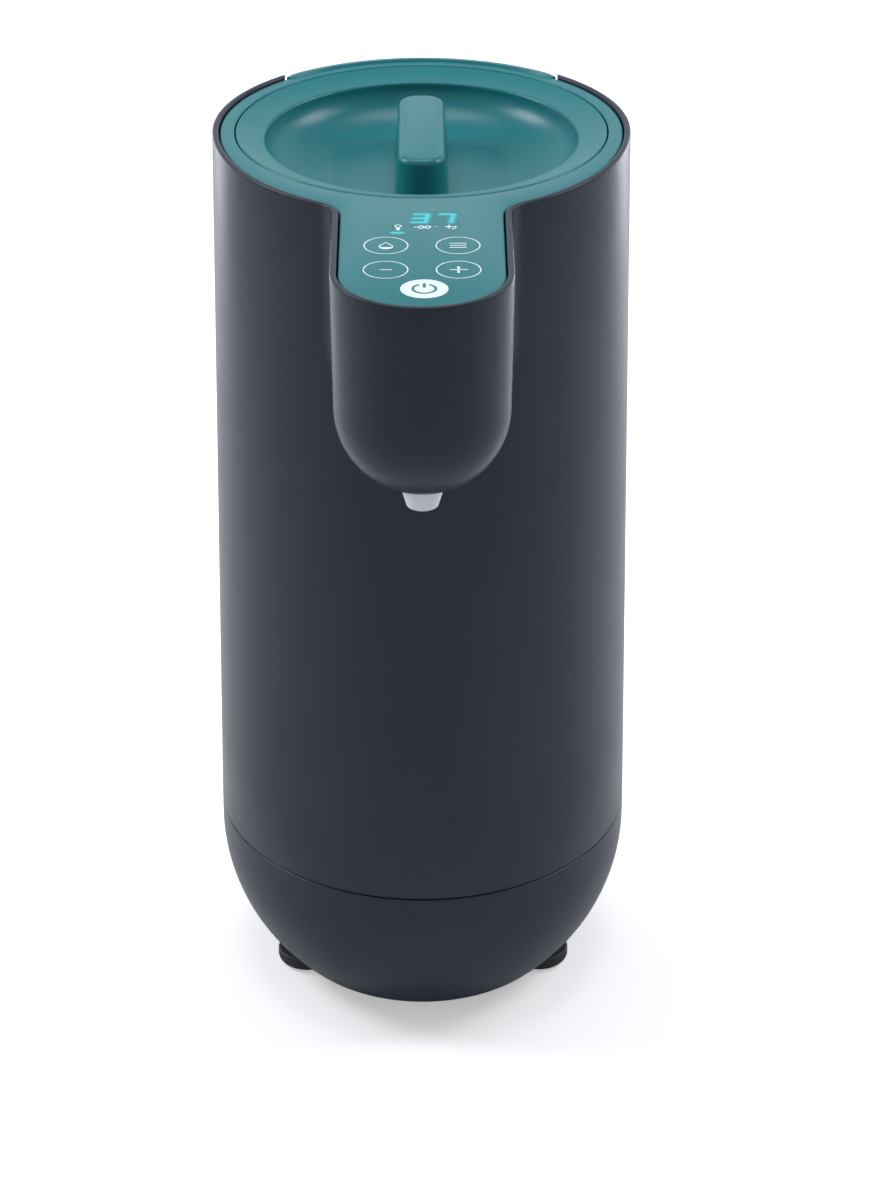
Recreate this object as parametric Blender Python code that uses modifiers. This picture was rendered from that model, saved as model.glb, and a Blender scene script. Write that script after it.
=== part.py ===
"""Baby formula maker: an upright oval body with a spout head over the bottle's place.

The lid is a dished plug with a bar grip. Under it a steel tank stands on a heating plate, and a small
pump in the base lifts the warm water through a hose to the nozzle. Lengths are in metres, +Z is up and
the front is -Y. Every piece is modelled about the body's own axis and hangs from one empty, which puts
the middle of the footprint at the origin.
"""

import math

import bmesh
import bpy
from mathutils import Matrix, Vector

MM = 0.001

# Fits shared by all pieces
SEAT = 0.3 * MM
CUT_OVERRUN = 4.0 * MM
WELD = 0.002 * MM
BURY = 0.6 * MM

# Body outline: half width and reaches are at the rim, and the draft widens them towards the seam
BODY_HEIGHT = 290.0 * MM
BODY_HALF_WIDTH = 65.0 * MM
BODY_BACK_REACH = 65.0 * MM
BODY_FRONT_REACH = 72.8 * MM
BODY_DRAFT = 1.9 * MM
SEAM_HEIGHT = 55.3 * MM
SEAM_GAP = 0.4 * MM
SHELL_WALL = 1.6 * MM

# Spout head: a half-round tongue with a domed underside
SPOUT_HALF_WIDTH = 26.0 * MM
SPOUT_REACH = 117.4 * MM
SPOUT_STRAIGHT = 42.0 * MM
SPOUT_FILLET = 9.0 * MM

# Notch in the back of the rim, where the deck's lip stands
NOTCH_FROM_SIDE = 21.3 * MM
NOTCH_DEPTH = 9.0 * MM
NOTCH_SIDE_GAP = 0.6 * MM

# Deck with the lid's seat and collar
DECK_SINK = 0.8 * MM
DECK_GAP = 0.4 * MM
DECK_THICKNESS = 2.4 * MM
DECK_CHAMFER = 0.3 * MM
DECK_LAND = 4.8 * MM
LIP_INSET = 1.3 * MM
LID_SEAT_DEPTH = 4.4 * MM
LID_SEAT_WALL = 2.0 * MM
LID_LEDGE = 4.2 * MM
COLLAR_WALL = 2.0 * MM
COLLAR_DEPTH = 22.0 * MM

# Lid
LID_RING_GAP = 0.4 * MM
LID_EDGE_ROUND = 1.2 * MM
LID_FLANGE = 9.1 * MM
BOWL_EDGE_DROP = 2.4 * MM
BOWL_EDGE_FALL = 0.3 * MM
BOWL_SIDE_REACH = 15.7 * MM
BOWL_SIDE_RISE = 12.8 * MM
BOWL_DEPTH = 15.5 * MM
BOWL_WALL = 2.2 * MM
SKIRT_CLEARANCE = 2.4 * MM
GRIP_END_GAP = 3.5 * MM
GRIP_WIDTH = 14.6 * MM
GRIP_DRAFT = 1.1 * MM
GRIP_EDGE_ROUND = 1.2 * MM
GRIP_WALL = 2.2 * MM
LINER_THICKNESS = 2.0 * MM
LINER_HUB_INSET = 5.6 * MM
LINER_HUB_DROP = 1.6 * MM
SEAL_LIP = 1.9 * MM
SEAL_HEIGHT = 4.5 * MM
SEAL_RIB_HEIGHT = 1.4 * MM

# Tank
TANK_WALL = 0.8 * MM
TANK_CORNER = 4.0 * MM
TANK_FLANGE = 3.0 * MM
GASKET_THICKNESS = 2.0 * MM
OUTLET_FROM_WALL = 13.0 * MM
OUTLET_RADIUS = 4.0 * MM
OUTLET_BORE = 2.9 * MM
OUTLET_LENGTH = 9.0 * MM
WRAP_THICKNESS = 3.4 * MM
WRAP_STAND = 12.0 * MM
WRAP_TOP_GAP = 4.0 * MM

# Heater under the tank
PLATE_INSET = 20.0 * MM
PLATE_THICKNESS = 5.0 * MM
ELEMENT_INSET = 7.0 * MM
ELEMENT_TUBE = 3.4 * MM
ELEMENT_TAIL = 9.0 * MM
ELEMENT_GAP_ANGLE = math.radians(32.0)
CUTOUT_RADIUS = 5.5 * MM
CUTOUT_HEIGHT = 8.0 * MM
CUTOUT_SPACING = 12.0 * MM
SENSOR_RADIUS = 2.4 * MM
SENSOR_HEIGHT = 12.0 * MM
SENSOR_REACH = 9.0 * MM

# Chassis that carries the tank on four legs
CHASSIS_RIM = 3.0 * MM
CHASSIS_PLATE_GAP = 4.0 * MM
CHASSIS_THICKNESS = 3.0 * MM
CHASSIS_LIP = 2.0 * MM
CHASSIS_LIP_HEIGHT = 9.0 * MM
LEG_RADIUS = 4.2 * MM
LEG_SIDE_INSET = 20.0 * MM
LEG_END_INSET = 16.0 * MM
LEG_FOOT_HEIGHT = 20.3 * MM
LEG_BORE_DEPTH = 12.0 * MM
HOSE_SLOT_CLEARANCE = 1.0 * MM

# Base cover and feet
BASE_ROUNDING = 60.0 * MM
BASE_ROUND_START = 49.0 * MM
BASE_CLEARANCE = 4.5 * MM
BASE_WALL = 2.2 * MM
SPIGOT_HEIGHT = 5.0 * MM
SPIGOT_WALL = 1.8 * MM
FOOT_RADIUS = 9.8 * MM
FOOT_ROUND = 3.0 * MM
FOOT_FROM_SIDE = 26.2 * MM
FOOT_FRONT_INSET = 18.0 * MM
FOOT_BACK_INSET = 14.0 * MM
FOOT_POCKET = 0.8 * MM
VENT_LENGTH = 16.0 * MM
VENT_WIDTH = 2.0 * MM
VENT_PITCH = 5.0 * MM
VENT_COUNT = 5
PUMP_STAND_RADIUS = 9.0 * MM
PUMP_STAND_HEIGHT = 49.4 * MM
GLAND_HEIGHT = 34.0 * MM
GLAND_RADIUS = 6.2 * MM
GLAND_BORE = 3.4 * MM
GLAND_FLANGE = 2.2 * MM
GLAND_OUTSIDE = 3.0 * MM
GLAND_INSIDE = 7.0 * MM
GLAND_NUT_HEIGHT = 4.0 * MM
GLAND_PAD_RADIUS = 10.5 * MM
GLAND_PAD_DEPTH = 5.5 * MM
GLAND_SINK = 2.0 * MM
TURN_TO_BACK = (-math.pi / 2, 0, 0)

# Pump under the tank's outlet
PUMP_RADIUS = 18.0 * MM
PUMP_WALL = 2.4 * MM
PUMP_COVER_HEIGHT = 12.0 * MM
PUMP_BODY_HEIGHT = 20.0 * MM
PUMP_FLANGE = 3.0 * MM
CHAMBER_RADIUS = 12.8 * MM
CHAMBER_HEIGHT = 7.0 * MM
CAN_WALL = 1.2 * MM
STATOR_TOP_GAP = 0.6 * MM
DISCHARGE_OFFSET = 13.5 * MM
HOSE_STAND = 17.5 * MM
BARB_RADIUS = 4.0 * MM
BARB_BORE = 2.6 * MM
BARB_LENGTH = 9.0 * MM
SMALL_BARB_RADIUS = 2.7 * MM
SMALL_BARB_BORE = 1.6 * MM
IMPELLER_RADIUS = 11.5 * MM
IMPELLER_PLATE = 1.4 * MM
VANE_HEIGHT = 4.2 * MM
VANE_THICKNESS = 1.2 * MM
VANE_TIP_INSET = 0.7 * MM
VANE_TOP_DROP = 0.4 * MM
VANE_COUNT = 6
HUB_RADIUS = 2.6 * MM
HUB_CAP = 1.4 * MM
ROTOR_RADIUS = 6.0 * MM
ROTOR_LENGTH = 14.0 * MM
ROTOR_CLEARANCE = 0.6 * MM
SHAFT_RADIUS = 1.0 * MM
SHAFT_CLEARANCE = 0.3 * MM

# Hoses
HOSE_RADIUS = 6.0 * MM
SMALL_HOSE_RADIUS = 4.5 * MM
RISER_CLEARANCE = 2.4 * MM
CLIP_BAND = 0.8 * MM
CLIP_WIDTH = 3.0 * MM
CLIP_FROM_END = 4.0 * MM

# Nozzle
NOZZLE_RADIUS = 6.5 * MM
NOZZLE_TIP_RADIUS = 4.9 * MM
NOZZLE_PROTRUSION = 6.2 * MM
NOZZLE_BORE = 2.2 * MM
NOZZLE_TIP_ROUND = 0.9 * MM
HOLDER_RADIUS = 9.0 * MM
HOLDER_LOW_GAP = 0.5 * MM
HOLDER_DEPTH = 7.0 * MM
HOLDER_FLOOR = 2.0 * MM

# Control board under the tongue
BOARD_THICKNESS = 1.6 * MM
BOARD_DROP = 5.6 * MM
BOARD_HALF_WIDTH = 20.0 * MM
BOARD_BACK = 71.0 * MM
DISPLAY_WIDTH = 24.0 * MM
DISPLAY_DEPTH = 11.0 * MM
KEY_SIDE = 10.5 * MM
KEY_REAR_REACH = 95.6 * MM
KEY_FRONT_REACH = 114.0 * MM
POWER_KEY_REACH = 128.2 * MM
DISPLAY_REACH = 77.5 * MM
TOUCH_PAD_RADIUS = 4.0 * MM
BOSS_RADIUS = 3.0 * MM
BOSS_SIDE = 17.0 * MM
BOSS_BACK_REACH = 85.5 * MM

# Screws
SCREW_RADIUS = 1.3 * MM
SCREW_HOLE = 1.6 * MM
SCREW_HEAD_RADIUS = 2.7 * MM
SCREW_HEAD_HEIGHT = 1.8 * MM
SCREW_SHOULDER = 3.0 * MM
BASE_SCREW_LENGTH = 11.0 * MM
BOARD_SCREW_BITE = 4.0 * MM
POWER_SCREW_LENGTH = 7.0 * MM

# Power board in the base
POWER_SIDE_GAP = 0.8 * MM
POWER_FRONT_GAP = 3.0 * MM
POWER_BACK_GAP = 23.0 * MM
POWER_HEIGHT = 19.0 * MM
POST_RADIUS = 3.2 * MM
POST_SIDE_INSET = 4.0 * MM
POST_INSET = 4.5 * MM
TRANSFORMER_SIZE = (20.0 * MM, 18.0 * MM, 15.0 * MM)
TRANSFORMER_BACK_GAP = 11.0 * MM
RELAY_SIZE = (13.0 * MM, 18.0 * MM, 13.0 * MM)
RELAY_FRONT_GAP = 9.0 * MM
BOARD_EDGE_GAP = 1.0 * MM
CAPACITOR_RADIUS = 5.0 * MM
CAPACITOR_HEIGHT = 17.0 * MM
CAPACITOR_EDGE_GAP = 0.3 * MM

# Harness between the two boards
HARNESS_RADIUS = 2.0 * MM
HARNESS_SIDE = 23.0 * MM
HARNESS_TANK_GAP = 6.5 * MM
HARNESS_BEND = 9.0 * MM
HARNESS_RISE = 36 * MM
HARNESS_START_INSET = (9.0 * MM, 4.0 * MM)
HARNESS_END = (12.0 * MM, -79.0 * MM)

# Facet counts
BODY_STEPS = 16
FILLET_STEPS = 4
DOME_STEPS = 6
TURN_STEPS = 30
SMALL_STEPS = 12
ROUND_STEPS = 4
EDGE_STEPS = 3
BAR_STEPS = 2
NUT_SIDES = 6
HALVINGS = 50
BASE_STEPS = 4
PUMP_STEPS = 20
SCREW_STEPS = 6
HOLE_STEPS = 8
HOSE_STEPS = 2
TUBE_SIDES = 8
WIRE_SIDES = 6

# Sizes that follow from those above, across the body
BODY_RADIUS = min(BODY_HALF_WIDTH, BODY_BACK_REACH)
NOTCH_HALF_WIDTH = BODY_HALF_WIDTH - NOTCH_FROM_SIDE
LID_OPENING = BODY_RADIUS - SHELL_WALL - DECK_GAP - DECK_LAND
LID_RADIUS = LID_OPENING - LID_RING_GAP
COLLAR_RADIUS = LID_OPENING - LID_LEDGE
BOWL_RADIUS = LID_RADIUS - LID_FLANGE
BOWL_FLOOR_RADIUS = BOWL_RADIUS - BOWL_SIDE_REACH
LID_SKIRT_RADIUS = COLLAR_RADIUS - SKIRT_CLEARANCE
LINER_HUB_RADIUS = LID_SKIRT_RADIUS - LINER_HUB_INSET
GRIP_LENGTH = 2 * (BOWL_FLOOR_RADIUS - GRIP_END_GAP)
TANK_RADIUS = COLLAR_RADIUS
OUTLET_REACH = TANK_RADIUS - OUTLET_FROM_WALL
RISER_REACH = TANK_RADIUS + SEAT + WRAP_THICKNESS + RISER_CLEARANCE + SMALL_HOSE_RADIUS
PLATE_RADIUS = TANK_RADIUS - PLATE_INSET
ELEMENT_RADIUS = PLATE_RADIUS - ELEMENT_INSET
CHASSIS_OUTER = TANK_RADIUS + CHASSIS_RIM
CHASSIS_INNER = PLATE_RADIUS + CHASSIS_PLATE_GAP
LEG_SIDE = TANK_RADIUS - LEG_SIDE_INSET
LEG_REACH = TANK_RADIUS - LEG_END_INSET
FOOT_SIDE = BODY_HALF_WIDTH - FOOT_FROM_SIDE
FOOT_FRONT = LEG_REACH - FOOT_FRONT_INSET
FOOT_BACK = LEG_REACH - FOOT_BACK_INSET
GLAND_PAD_FACE = BODY_BACK_REACH - GLAND_PAD_DEPTH
GLAND_SEAT = BODY_BACK_REACH - GLAND_SINK
POWER_HALF_WIDTH = LEG_SIDE - LEG_RADIUS - POWER_SIDE_GAP
POWER_FRONT = OUTLET_REACH - PUMP_RADIUS - POWER_FRONT_GAP
POWER_BACK = BODY_BACK_REACH - POWER_BACK_GAP
POST_SIDE = POWER_HALF_WIDTH - POST_SIDE_INSET
HARNESS_REACH = TANK_RADIUS + HARNESS_TANK_GAP
HARNESS_START = (POWER_HALF_WIDTH - HARNESS_START_INSET[0], HARNESS_START_INSET[1] - POWER_FRONT)
BOSS_REACH = (KEY_REAR_REACH + KEY_FRONT_REACH) / 2
FOOTPRINT_SHIFT = (SPOUT_REACH + SPOUT_HALF_WIDTH - BODY_BACK_REACH - BODY_DRAFT) / 2

# Heights that follow from the sizes above
SPOUT_SPRING = BODY_HEIGHT - SPOUT_STRAIGHT
SPOUT_BOTTOM = SPOUT_SPRING - SPOUT_HALF_WIDTH
SPOUT_ROOT = SPOUT_BOTTOM - SPOUT_FILLET
DECK_TOP = BODY_HEIGHT - DECK_SINK
DECK_UNDER = DECK_TOP - DECK_THICKNESS
LID_SEAT = DECK_TOP - LID_SEAT_DEPTH
COLLAR_BOTTOM = DECK_TOP - COLLAR_DEPTH
GASKET_TOP = COLLAR_BOTTOM - SEAT
TANK_TOP = GASKET_TOP - GASKET_THICKNESS - SEAT
BASE_FLOOR = BASE_CLEARANCE + BASE_WALL
PUMP_BOTTOM = BASE_FLOOR + PUMP_STAND_HEIGHT
PUMP_JOINT = PUMP_BOTTOM + PUMP_BODY_HEIGHT
PUMP_TOP = PUMP_JOINT + PUMP_COVER_HEIGHT
TANK_BOTTOM = PUMP_TOP + HOSE_STAND + OUTLET_LENGTH
PLATE_TOP = TANK_BOTTOM - SEAT
PLATE_BOTTOM = PLATE_TOP - PLATE_THICKNESS
CHASSIS_TOP = TANK_BOTTOM - SEAT
BOARD_TOP = DECK_UNDER - BOARD_DROP
BOARD_UNDER = BOARD_TOP - BOARD_THICKNESS
NOZZLE_TIP = SPOUT_BOTTOM - NOZZLE_PROTRUSION
POWER_TOP = POWER_HEIGHT + BOARD_THICKNESS
DOME_INSIDE = SPOUT_HALF_WIDTH - SHELL_WALL
HOLDER_LOW = SPOUT_SPRING - math.sqrt(DOME_INSIDE**2 - HOLDER_RADIUS**2) + HOLDER_LOW_GAP
HOLDER_TOP = HOLDER_LOW + HOLDER_DEPTH

# Colours as (red, green, blue), roughness, metallic
FINISHES = {
    "dark_plastic": ((0.045, 0.056, 0.075), 0.42, 0.0),
    "teal_plastic": ((0.085, 0.31, 0.34), 0.40, 0.0),
    "white_plastic": ((0.78, 0.80, 0.83), 0.35, 0.0),
    "grey_plastic": ((0.35, 0.36, 0.37), 0.45, 0.0),
    "silicone": ((0.62, 0.64, 0.66), 0.55, 0.0),
    "rubber": ((0.03, 0.035, 0.045), 0.75, 0.0),
    "steel": ((0.62, 0.63, 0.64), 0.25, 1.0),
    "aluminium": ((0.66, 0.67, 0.68), 0.35, 1.0),
    "circuit_board": ((0.03, 0.16, 0.07), 0.50, 0.0),
    "black_plastic": ((0.02, 0.02, 0.022), 0.50, 0.0),
    "felt": ((0.55, 0.54, 0.50), 0.95, 0.0),
}


# Clearing the scene and making collections

for old in list(bpy.data.objects):
    bpy.data.objects.remove(old, do_unlink=True)

PARTS = bpy.data.collections.new("baby_formula_maker")
CUTTERS = bpy.data.collections.new("cutters")
bpy.context.scene.collection.children.link(PARTS)
bpy.context.scene.collection.children.link(CUTTERS)

FRAME = bpy.data.objects.new("body_axis", None)
FRAME.location = (0, FOOTPRINT_SHIFT, 0)
PARTS.objects.link(FRAME)


def finish(name):
    """The material of that name, made on its first use."""
    found = bpy.data.materials.get(name)
    if found:
        return found
    colour, roughness, metallic = FINISHES[name]
    made = bpy.data.materials.new(name)
    made.use_nodes = True
    shader = made.node_tree.nodes["Principled BSDF"]
    shader.inputs["Base Color"].default_value = (*colour, 1.0)
    shader.inputs["Roughness"].default_value = roughness
    shader.inputs["Metallic"].default_value = metallic
    return made


def piece(name, mesh, material, place=(0, 0, 0)):
    """A named object of the machine, hung from the body's axis."""
    made = bpy.data.objects.new(name, mesh)
    PARTS.objects.link(made)
    made.parent = FRAME
    made.location = place
    mesh.materials.append(finish(material))
    return made


def cutter(name, mesh, place=(0, 0, 0), turn=(0, 0, 0)):
    """A tool shape for Boolean modifiers, hidden from the render."""
    made = bpy.data.objects.new(name, mesh)
    CUTTERS.objects.link(made)
    made.parent = FRAME
    made.location = place
    made.rotation_euler = turn
    made.hide_render = True
    made.display_type = "WIRE"
    return made


def boolean(target, tool, operation="DIFFERENCE"):
    """Cuts target with tool, or joins tool to it."""
    step = target.modifiers.new(operation.lower() + "_" + tool.name, "BOOLEAN")
    step.operation = operation
    step.solver = "EXACT"
    step.object = tool


def shade(mesh, angle=math.radians(35.0)):
    """Smooth shading that keeps the real edges sharp."""
    mesh.shade_smooth()
    mesh.set_sharp_from_angle(angle=angle)


# Mesh makers

def mesh_of(shape, name):
    """A mesh from a bmesh, with doubles merged."""
    bmesh.ops.remove_doubles(shape, verts=shape.verts, dist=WELD)
    mesh = bpy.data.meshes.new(name)
    shape.to_mesh(mesh)
    shape.free()
    shade(mesh)
    return mesh


def box_mesh(name, low, high):
    """An upright box between two corners."""
    shape = bmesh.new()
    bmesh.ops.create_cube(shape, size=1)
    size = Vector(high) - Vector(low)
    middle = (Vector(high) + Vector(low)) / 2
    placed = Matrix.Translation(middle) @ Matrix.Diagonal((*size, 1))
    bmesh.ops.transform(shape, matrix=placed, verts=shape.verts)
    return mesh_of(shape, name)


def rod_mesh(name, radius, low, high, top_radius=None, steps=SMALL_STEPS):
    """An upright cylinder or cone from height low to height high."""
    shape = bmesh.new()
    top = radius if top_radius is None else top_radius
    length = high - low
    bmesh.ops.create_cone(shape, cap_ends=True, segments=steps, radius1=radius, radius2=top, depth=length)
    bmesh.ops.translate(shape, verts=shape.verts, vec=(0, 0, (high + low) / 2))
    return mesh_of(shape, name)


def screw_hole(name, low, high):
    """The tool for a screw's hole."""
    return rod_mesh(name, SCREW_HOLE, low, high, steps=HOLE_STEPS)


def turned_mesh(name, profile, steps=TURN_STEPS):
    """A closed (radius, height) profile turned once about the upright axis."""
    shape = bmesh.new()
    corners = [shape.verts.new((radius, 0, height)) for radius, height in profile]
    edges = [shape.edges.new((corners[i], corners[(i + 1) % len(corners)])) for i in range(len(corners))]
    axis_edges = [edge for edge in edges if all(corner.co.x < WELD for corner in edge.verts)]
    spun = [edge for edge in edges if edge not in axis_edges]
    bmesh.ops.spin(shape, geom=corners + spun, cent=(0, 0, 0), axis=(0, 0, 1), angle=math.tau, steps=steps)
    bmesh.ops.delete(shape, geom=[edge for edge in axis_edges if edge.is_valid], context="EDGES")
    bmesh.ops.remove_doubles(shape, verts=shape.verts, dist=WELD)
    bmesh.ops.recalc_face_normals(shape, faces=shape.faces)
    return mesh_of(shape, name)


def loft_mesh(name, rings, close_top=False, close_bottom=False):
    """A skin through closed rings of equal count, from the top down and clockwise seen from above."""
    shape = bmesh.new()
    rows = [[shape.verts.new(point) for point in ring] for ring in rings]
    count = len(rows[0])
    for upper, lower in zip(rows, rows[1:]):
        for i in range(count):
            j = (i + 1) % count
            shape.faces.new((upper[i], upper[j], lower[j], lower[i]))
    if close_top:
        shape.faces.new(tuple(reversed(rows[0])))
    if close_bottom:
        shape.faces.new(tuple(rows[-1]))
    bmesh.ops.remove_doubles(shape, verts=shape.verts, dist=WELD)
    return mesh_of(shape, name)


def prism_mesh(name, outline, low, high):
    """A flat outline, clockwise seen from above, raised from height low to height high."""
    top = [(x, y, high) for x, y in outline]
    bottom = [(x, y, low) for x, y in outline]
    return loft_mesh(name, [top, bottom], close_top=True, close_bottom=True)


def tube_object(name, points, radius, material, sides, wall=None):
    """A round rod along points, or a hose if it has a wall, drawn as a curve that is then made a mesh."""
    curve = bpy.data.curves.new(name + "_line", "CURVE")
    curve.dimensions = "3D"
    curve.bevel_depth = radius
    curve.bevel_resolution = sides // 2 - 2
    curve.use_fill_caps = wall is None
    line = curve.splines.new("POLY")
    line.points.add(len(points) - 1)
    for point, co in zip(line.points, points):
        point.co = (*co, 1)
    drawn = bpy.data.objects.new(name + "_drawn", curve)
    CUTTERS.objects.link(drawn)
    bpy.context.view_layer.update()
    mesh = bpy.data.meshes.new_from_object(drawn.evaluated_get(bpy.context.evaluated_depsgraph_get()))
    bpy.data.objects.remove(drawn, do_unlink=True)
    bpy.data.curves.remove(curve)
    shape = bmesh.new()
    shape.from_mesh(mesh)
    bmesh.ops.remove_doubles(shape, verts=shape.verts, dist=WELD)
    bmesh.ops.recalc_face_normals(shape, faces=shape.faces)
    shape.to_mesh(mesh)
    shape.free()
    shade(mesh)
    mesh.name = name
    mesh.materials.clear()
    made = piece(name, mesh, material)
    if wall:
        skin = made.modifiers.new("wall", "SOLIDIFY")
        skin.thickness = wall
        skin.offset = -1
    return made


def smooth_path(points, steps):
    """A Catmull-Rom curve through hand-chosen points, whose first and last stretches stay straight."""
    spots = [Vector(p) for p in points]
    path = [spots[0]]
    for a, b, c, d in zip(spots, spots[1:], spots[2:], spots[3:]):
        for i in range(steps):
            t = i / steps
            bend = (2 * a - 5 * b + 4 * c - d) * t**2 + (3 * b - a - 3 * c + d) * t**3
            path.append(0.5 * (2 * b + (c - a) * t + bend))
    return [*path, spots[-2], spots[-1]]


def arc(centre, radius, start, end, steps):
    """Points of an arc as (across, up) pairs, ends included."""
    return [
        (
            centre[0] + radius * math.cos(start + (end - start) * i / steps),
            centre[1] + radius * math.sin(start + (end - start) * i / steps),
        )
        for i in range(steps + 1)
    ]


# Plan outlines of the body

def widening(height):
    """How far the draft has moved the shell's wall outwards at a height."""
    return BODY_DRAFT * (BODY_HEIGHT - height) / (BODY_HEIGHT - SEAM_HEIGHT)


def oval(turn, height, inset):
    """A point of the body's outline. turn is 0 at the front and pi at the back."""
    grown = widening(height) - inset
    reach = BODY_FRONT_REACH if math.cos(turn) > 0 else BODY_BACK_REACH
    return (BODY_HALF_WIDTH + grown) * math.sin(turn), -(reach + grown) * math.cos(turn)


def oval_normal(turn, height, inset):
    """The outward direction there."""
    grown = widening(height) - inset
    reach = BODY_FRONT_REACH if math.cos(turn) > 0 else BODY_BACK_REACH
    across = (reach + grown) * math.sin(turn)
    along = (BODY_HALF_WIDTH + grown) * math.cos(turn)
    size = math.hypot(across, along)
    return across / size, -along / size


def fillet_turn(ball_side, height, inset, fillet):
    """Where on the outline a ball of the fillet's radius touches it, found by halving."""
    low, high = 0.0, math.pi / 2
    for _ in range(HALVINGS):
        middle = (low + high) / 2
        if oval(middle, height, inset)[0] + fillet * oval_normal(middle, height, inset)[0] < ball_side:
            low = middle
        else:
            high = middle
    return (low + high) / 2


def half_keyhole(height, inset, lean=0.0):
    """The right half of the plan, from the back's middle round to the spout's front.

    lean is 0 on the spout's upright sides and a quarter turn along its keel. The fillet is what a ball
    leaves that rolls along the corner between spout and body.
    """
    half_width = SPOUT_HALF_WIDTH - inset
    fillet = SPOUT_FILLET + inset
    spout_way = Vector((math.cos(lean), 0, -math.sin(lean)))
    side = half_width * spout_way + Vector((0, 0, height))
    ball = (half_width + fillet) * spout_way + Vector((0, 0, height))
    start = fillet_turn(ball.x, ball.z, inset, fillet)
    turns = [math.pi + (start - math.pi) * i / BODY_STEPS for i in range(BODY_STEPS + 1)]
    points = [Vector((*oval(turn, ball.z, inset), ball.z)) for turn in turns]
    body_way = Vector((*oval_normal(start, ball.z, inset), 0))
    ball.y = (points[-1] + fillet * body_way).y
    opening = body_way.angle(spout_way)
    for i in range(1, FILLET_STEPS + 1):
        turned = opening * i / FILLET_STEPS
        way = (math.sin(opening - turned) * body_way + math.sin(turned) * spout_way) / math.sin(opening)
        points.append(ball - fillet * way)
    tip = arc((0, -SPOUT_REACH), side.x, 0, -math.pi / 2, DOME_STEPS)
    points += [Vector((x, y, side.z)) for x, y in tip]
    return points


def half_oval(height, inset):
    """The right half of the plain body, with the same points as the keyhole's body part."""
    turns = [math.pi - math.pi * i / BODY_STEPS for i in range(BODY_STEPS + 1)]
    return [Vector((*oval(turn, height, inset), height)) for turn in turns]


def whole(half):
    """A right half outline and its mirror image as one closed clockwise outline."""
    return half + [Vector((-point.x, point.y, point.z)) for point in reversed(half[1:-1])]


def ring(outline, height):
    """A flat outline set at a height."""
    return [(point[0], point[1], height) for point in outline]


# Outer shell with its spout

def outer_shell():
    rings = [whole(half_keyhole(BODY_HEIGHT, 0))]
    for i in range(DOME_STEPS + 1):
        rings.append(whole(half_keyhole(SPOUT_SPRING, 0, math.pi / 2 * i / DOME_STEPS)))
    upper = loft_mesh("shell_upper", rings)
    heights = (SPOUT_ROOT, SEAM_HEIGHT + SEAM_GAP / 2)
    lower = loft_mesh("shell_lower", [whole(half_oval(height, 0)) for height in heights])
    shape = bmesh.new()
    shape.from_mesh(upper)
    shape.from_mesh(lower)
    bmesh.ops.dissolve_degenerate(shape, edges=shape.edges, dist=WELD)
    skin = piece("outer_shell", mesh_of(shape, "outer_shell"), "dark_plastic")
    wall = skin.modifiers.new("wall", "SOLIDIFY")
    wall.thickness = SHELL_WALL
    wall.offset = -1
    wall.use_even_offset = True
    wall.use_quality_normals = True
    notch = box_mesh(
        "rim_notch",
        (-NOTCH_HALF_WIDTH, 0, BODY_HEIGHT - NOTCH_DEPTH),
        (NOTCH_HALF_WIDTH, BODY_BACK_REACH + CUT_OVERRUN, BODY_HEIGHT + CUT_OVERRUN),
    )
    boolean(skin, cutter("rim_notch", notch))
    hole = rod_mesh("nozzle_hole", NOZZLE_RADIUS + SEAT, NOZZLE_TIP, SPOUT_SPRING)
    boolean(skin, cutter("nozzle_hole", hole, (0, -SPOUT_REACH, 0)))
    return skin


# Deck with the lid's seat, the collar below it and the lip in the rim's notch

def deck():
    inset = SHELL_WALL + DECK_GAP
    rings = [
        ring(whole(half_keyhole(BODY_HEIGHT, inset + DECK_CHAMFER)), DECK_TOP),
        ring(whole(half_keyhole(BODY_HEIGHT, inset)), DECK_TOP - DECK_CHAMFER),
        ring(whole(half_keyhole(BODY_HEIGHT, inset)), DECK_UNDER),
    ]
    plate = piece("deck", loft_mesh("deck", rings, close_top=True, close_bottom=True), "teal_plastic")
    outside = LID_OPENING + LID_SEAT_WALL
    profile = [
        (LID_OPENING - BURY, DECK_TOP - BURY),
        (outside, DECK_TOP - BURY),
        (outside, LID_SEAT - LID_SEAT_WALL),
        (COLLAR_RADIUS + COLLAR_WALL, LID_SEAT - LID_SEAT_WALL),
        (COLLAR_RADIUS + COLLAR_WALL, COLLAR_BOTTOM),
        (COLLAR_RADIUS, COLLAR_BOTTOM),
        (COLLAR_RADIUS, LID_SEAT - LID_SEAT_WALL / 2),
        (LID_OPENING - BURY, LID_SEAT - LID_SEAT_WALL / 2),
    ]
    boolean(plate, cutter("lid_collar", turned_mesh("lid_collar", profile)), "UNION")
    lip_low = BODY_HEIGHT - NOTCH_DEPTH + SEAM_GAP
    lip = lip_mesh("rear_lip", NOTCH_HALF_WIDTH - NOTCH_SIDE_GAP, inset + BURY, lip_low)
    boolean(plate, cutter("rear_lip", lip), "UNION")
    seat = rod_mesh("lid_seat", LID_OPENING, LID_SEAT, BODY_HEIGHT + CUT_OVERRUN, steps=TURN_STEPS)
    boolean(plate, cutter("lid_seat", seat))
    for number, (x, y) in enumerate(boss_places()):
        boss = rod_mesh("boss", BOSS_RADIUS, BOARD_TOP + SEAT, DECK_UNDER + BURY)
        boolean(plate, cutter(f"deck_boss_{number}", boss, (x, y, 0)), "UNION")
        pilot = screw_hole("pilot", BOARD_TOP - CUT_OVERRUN, DECK_UNDER)
        boolean(plate, cutter(f"deck_pilot_{number}", pilot, (x, y, 0)))
    return plate


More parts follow.
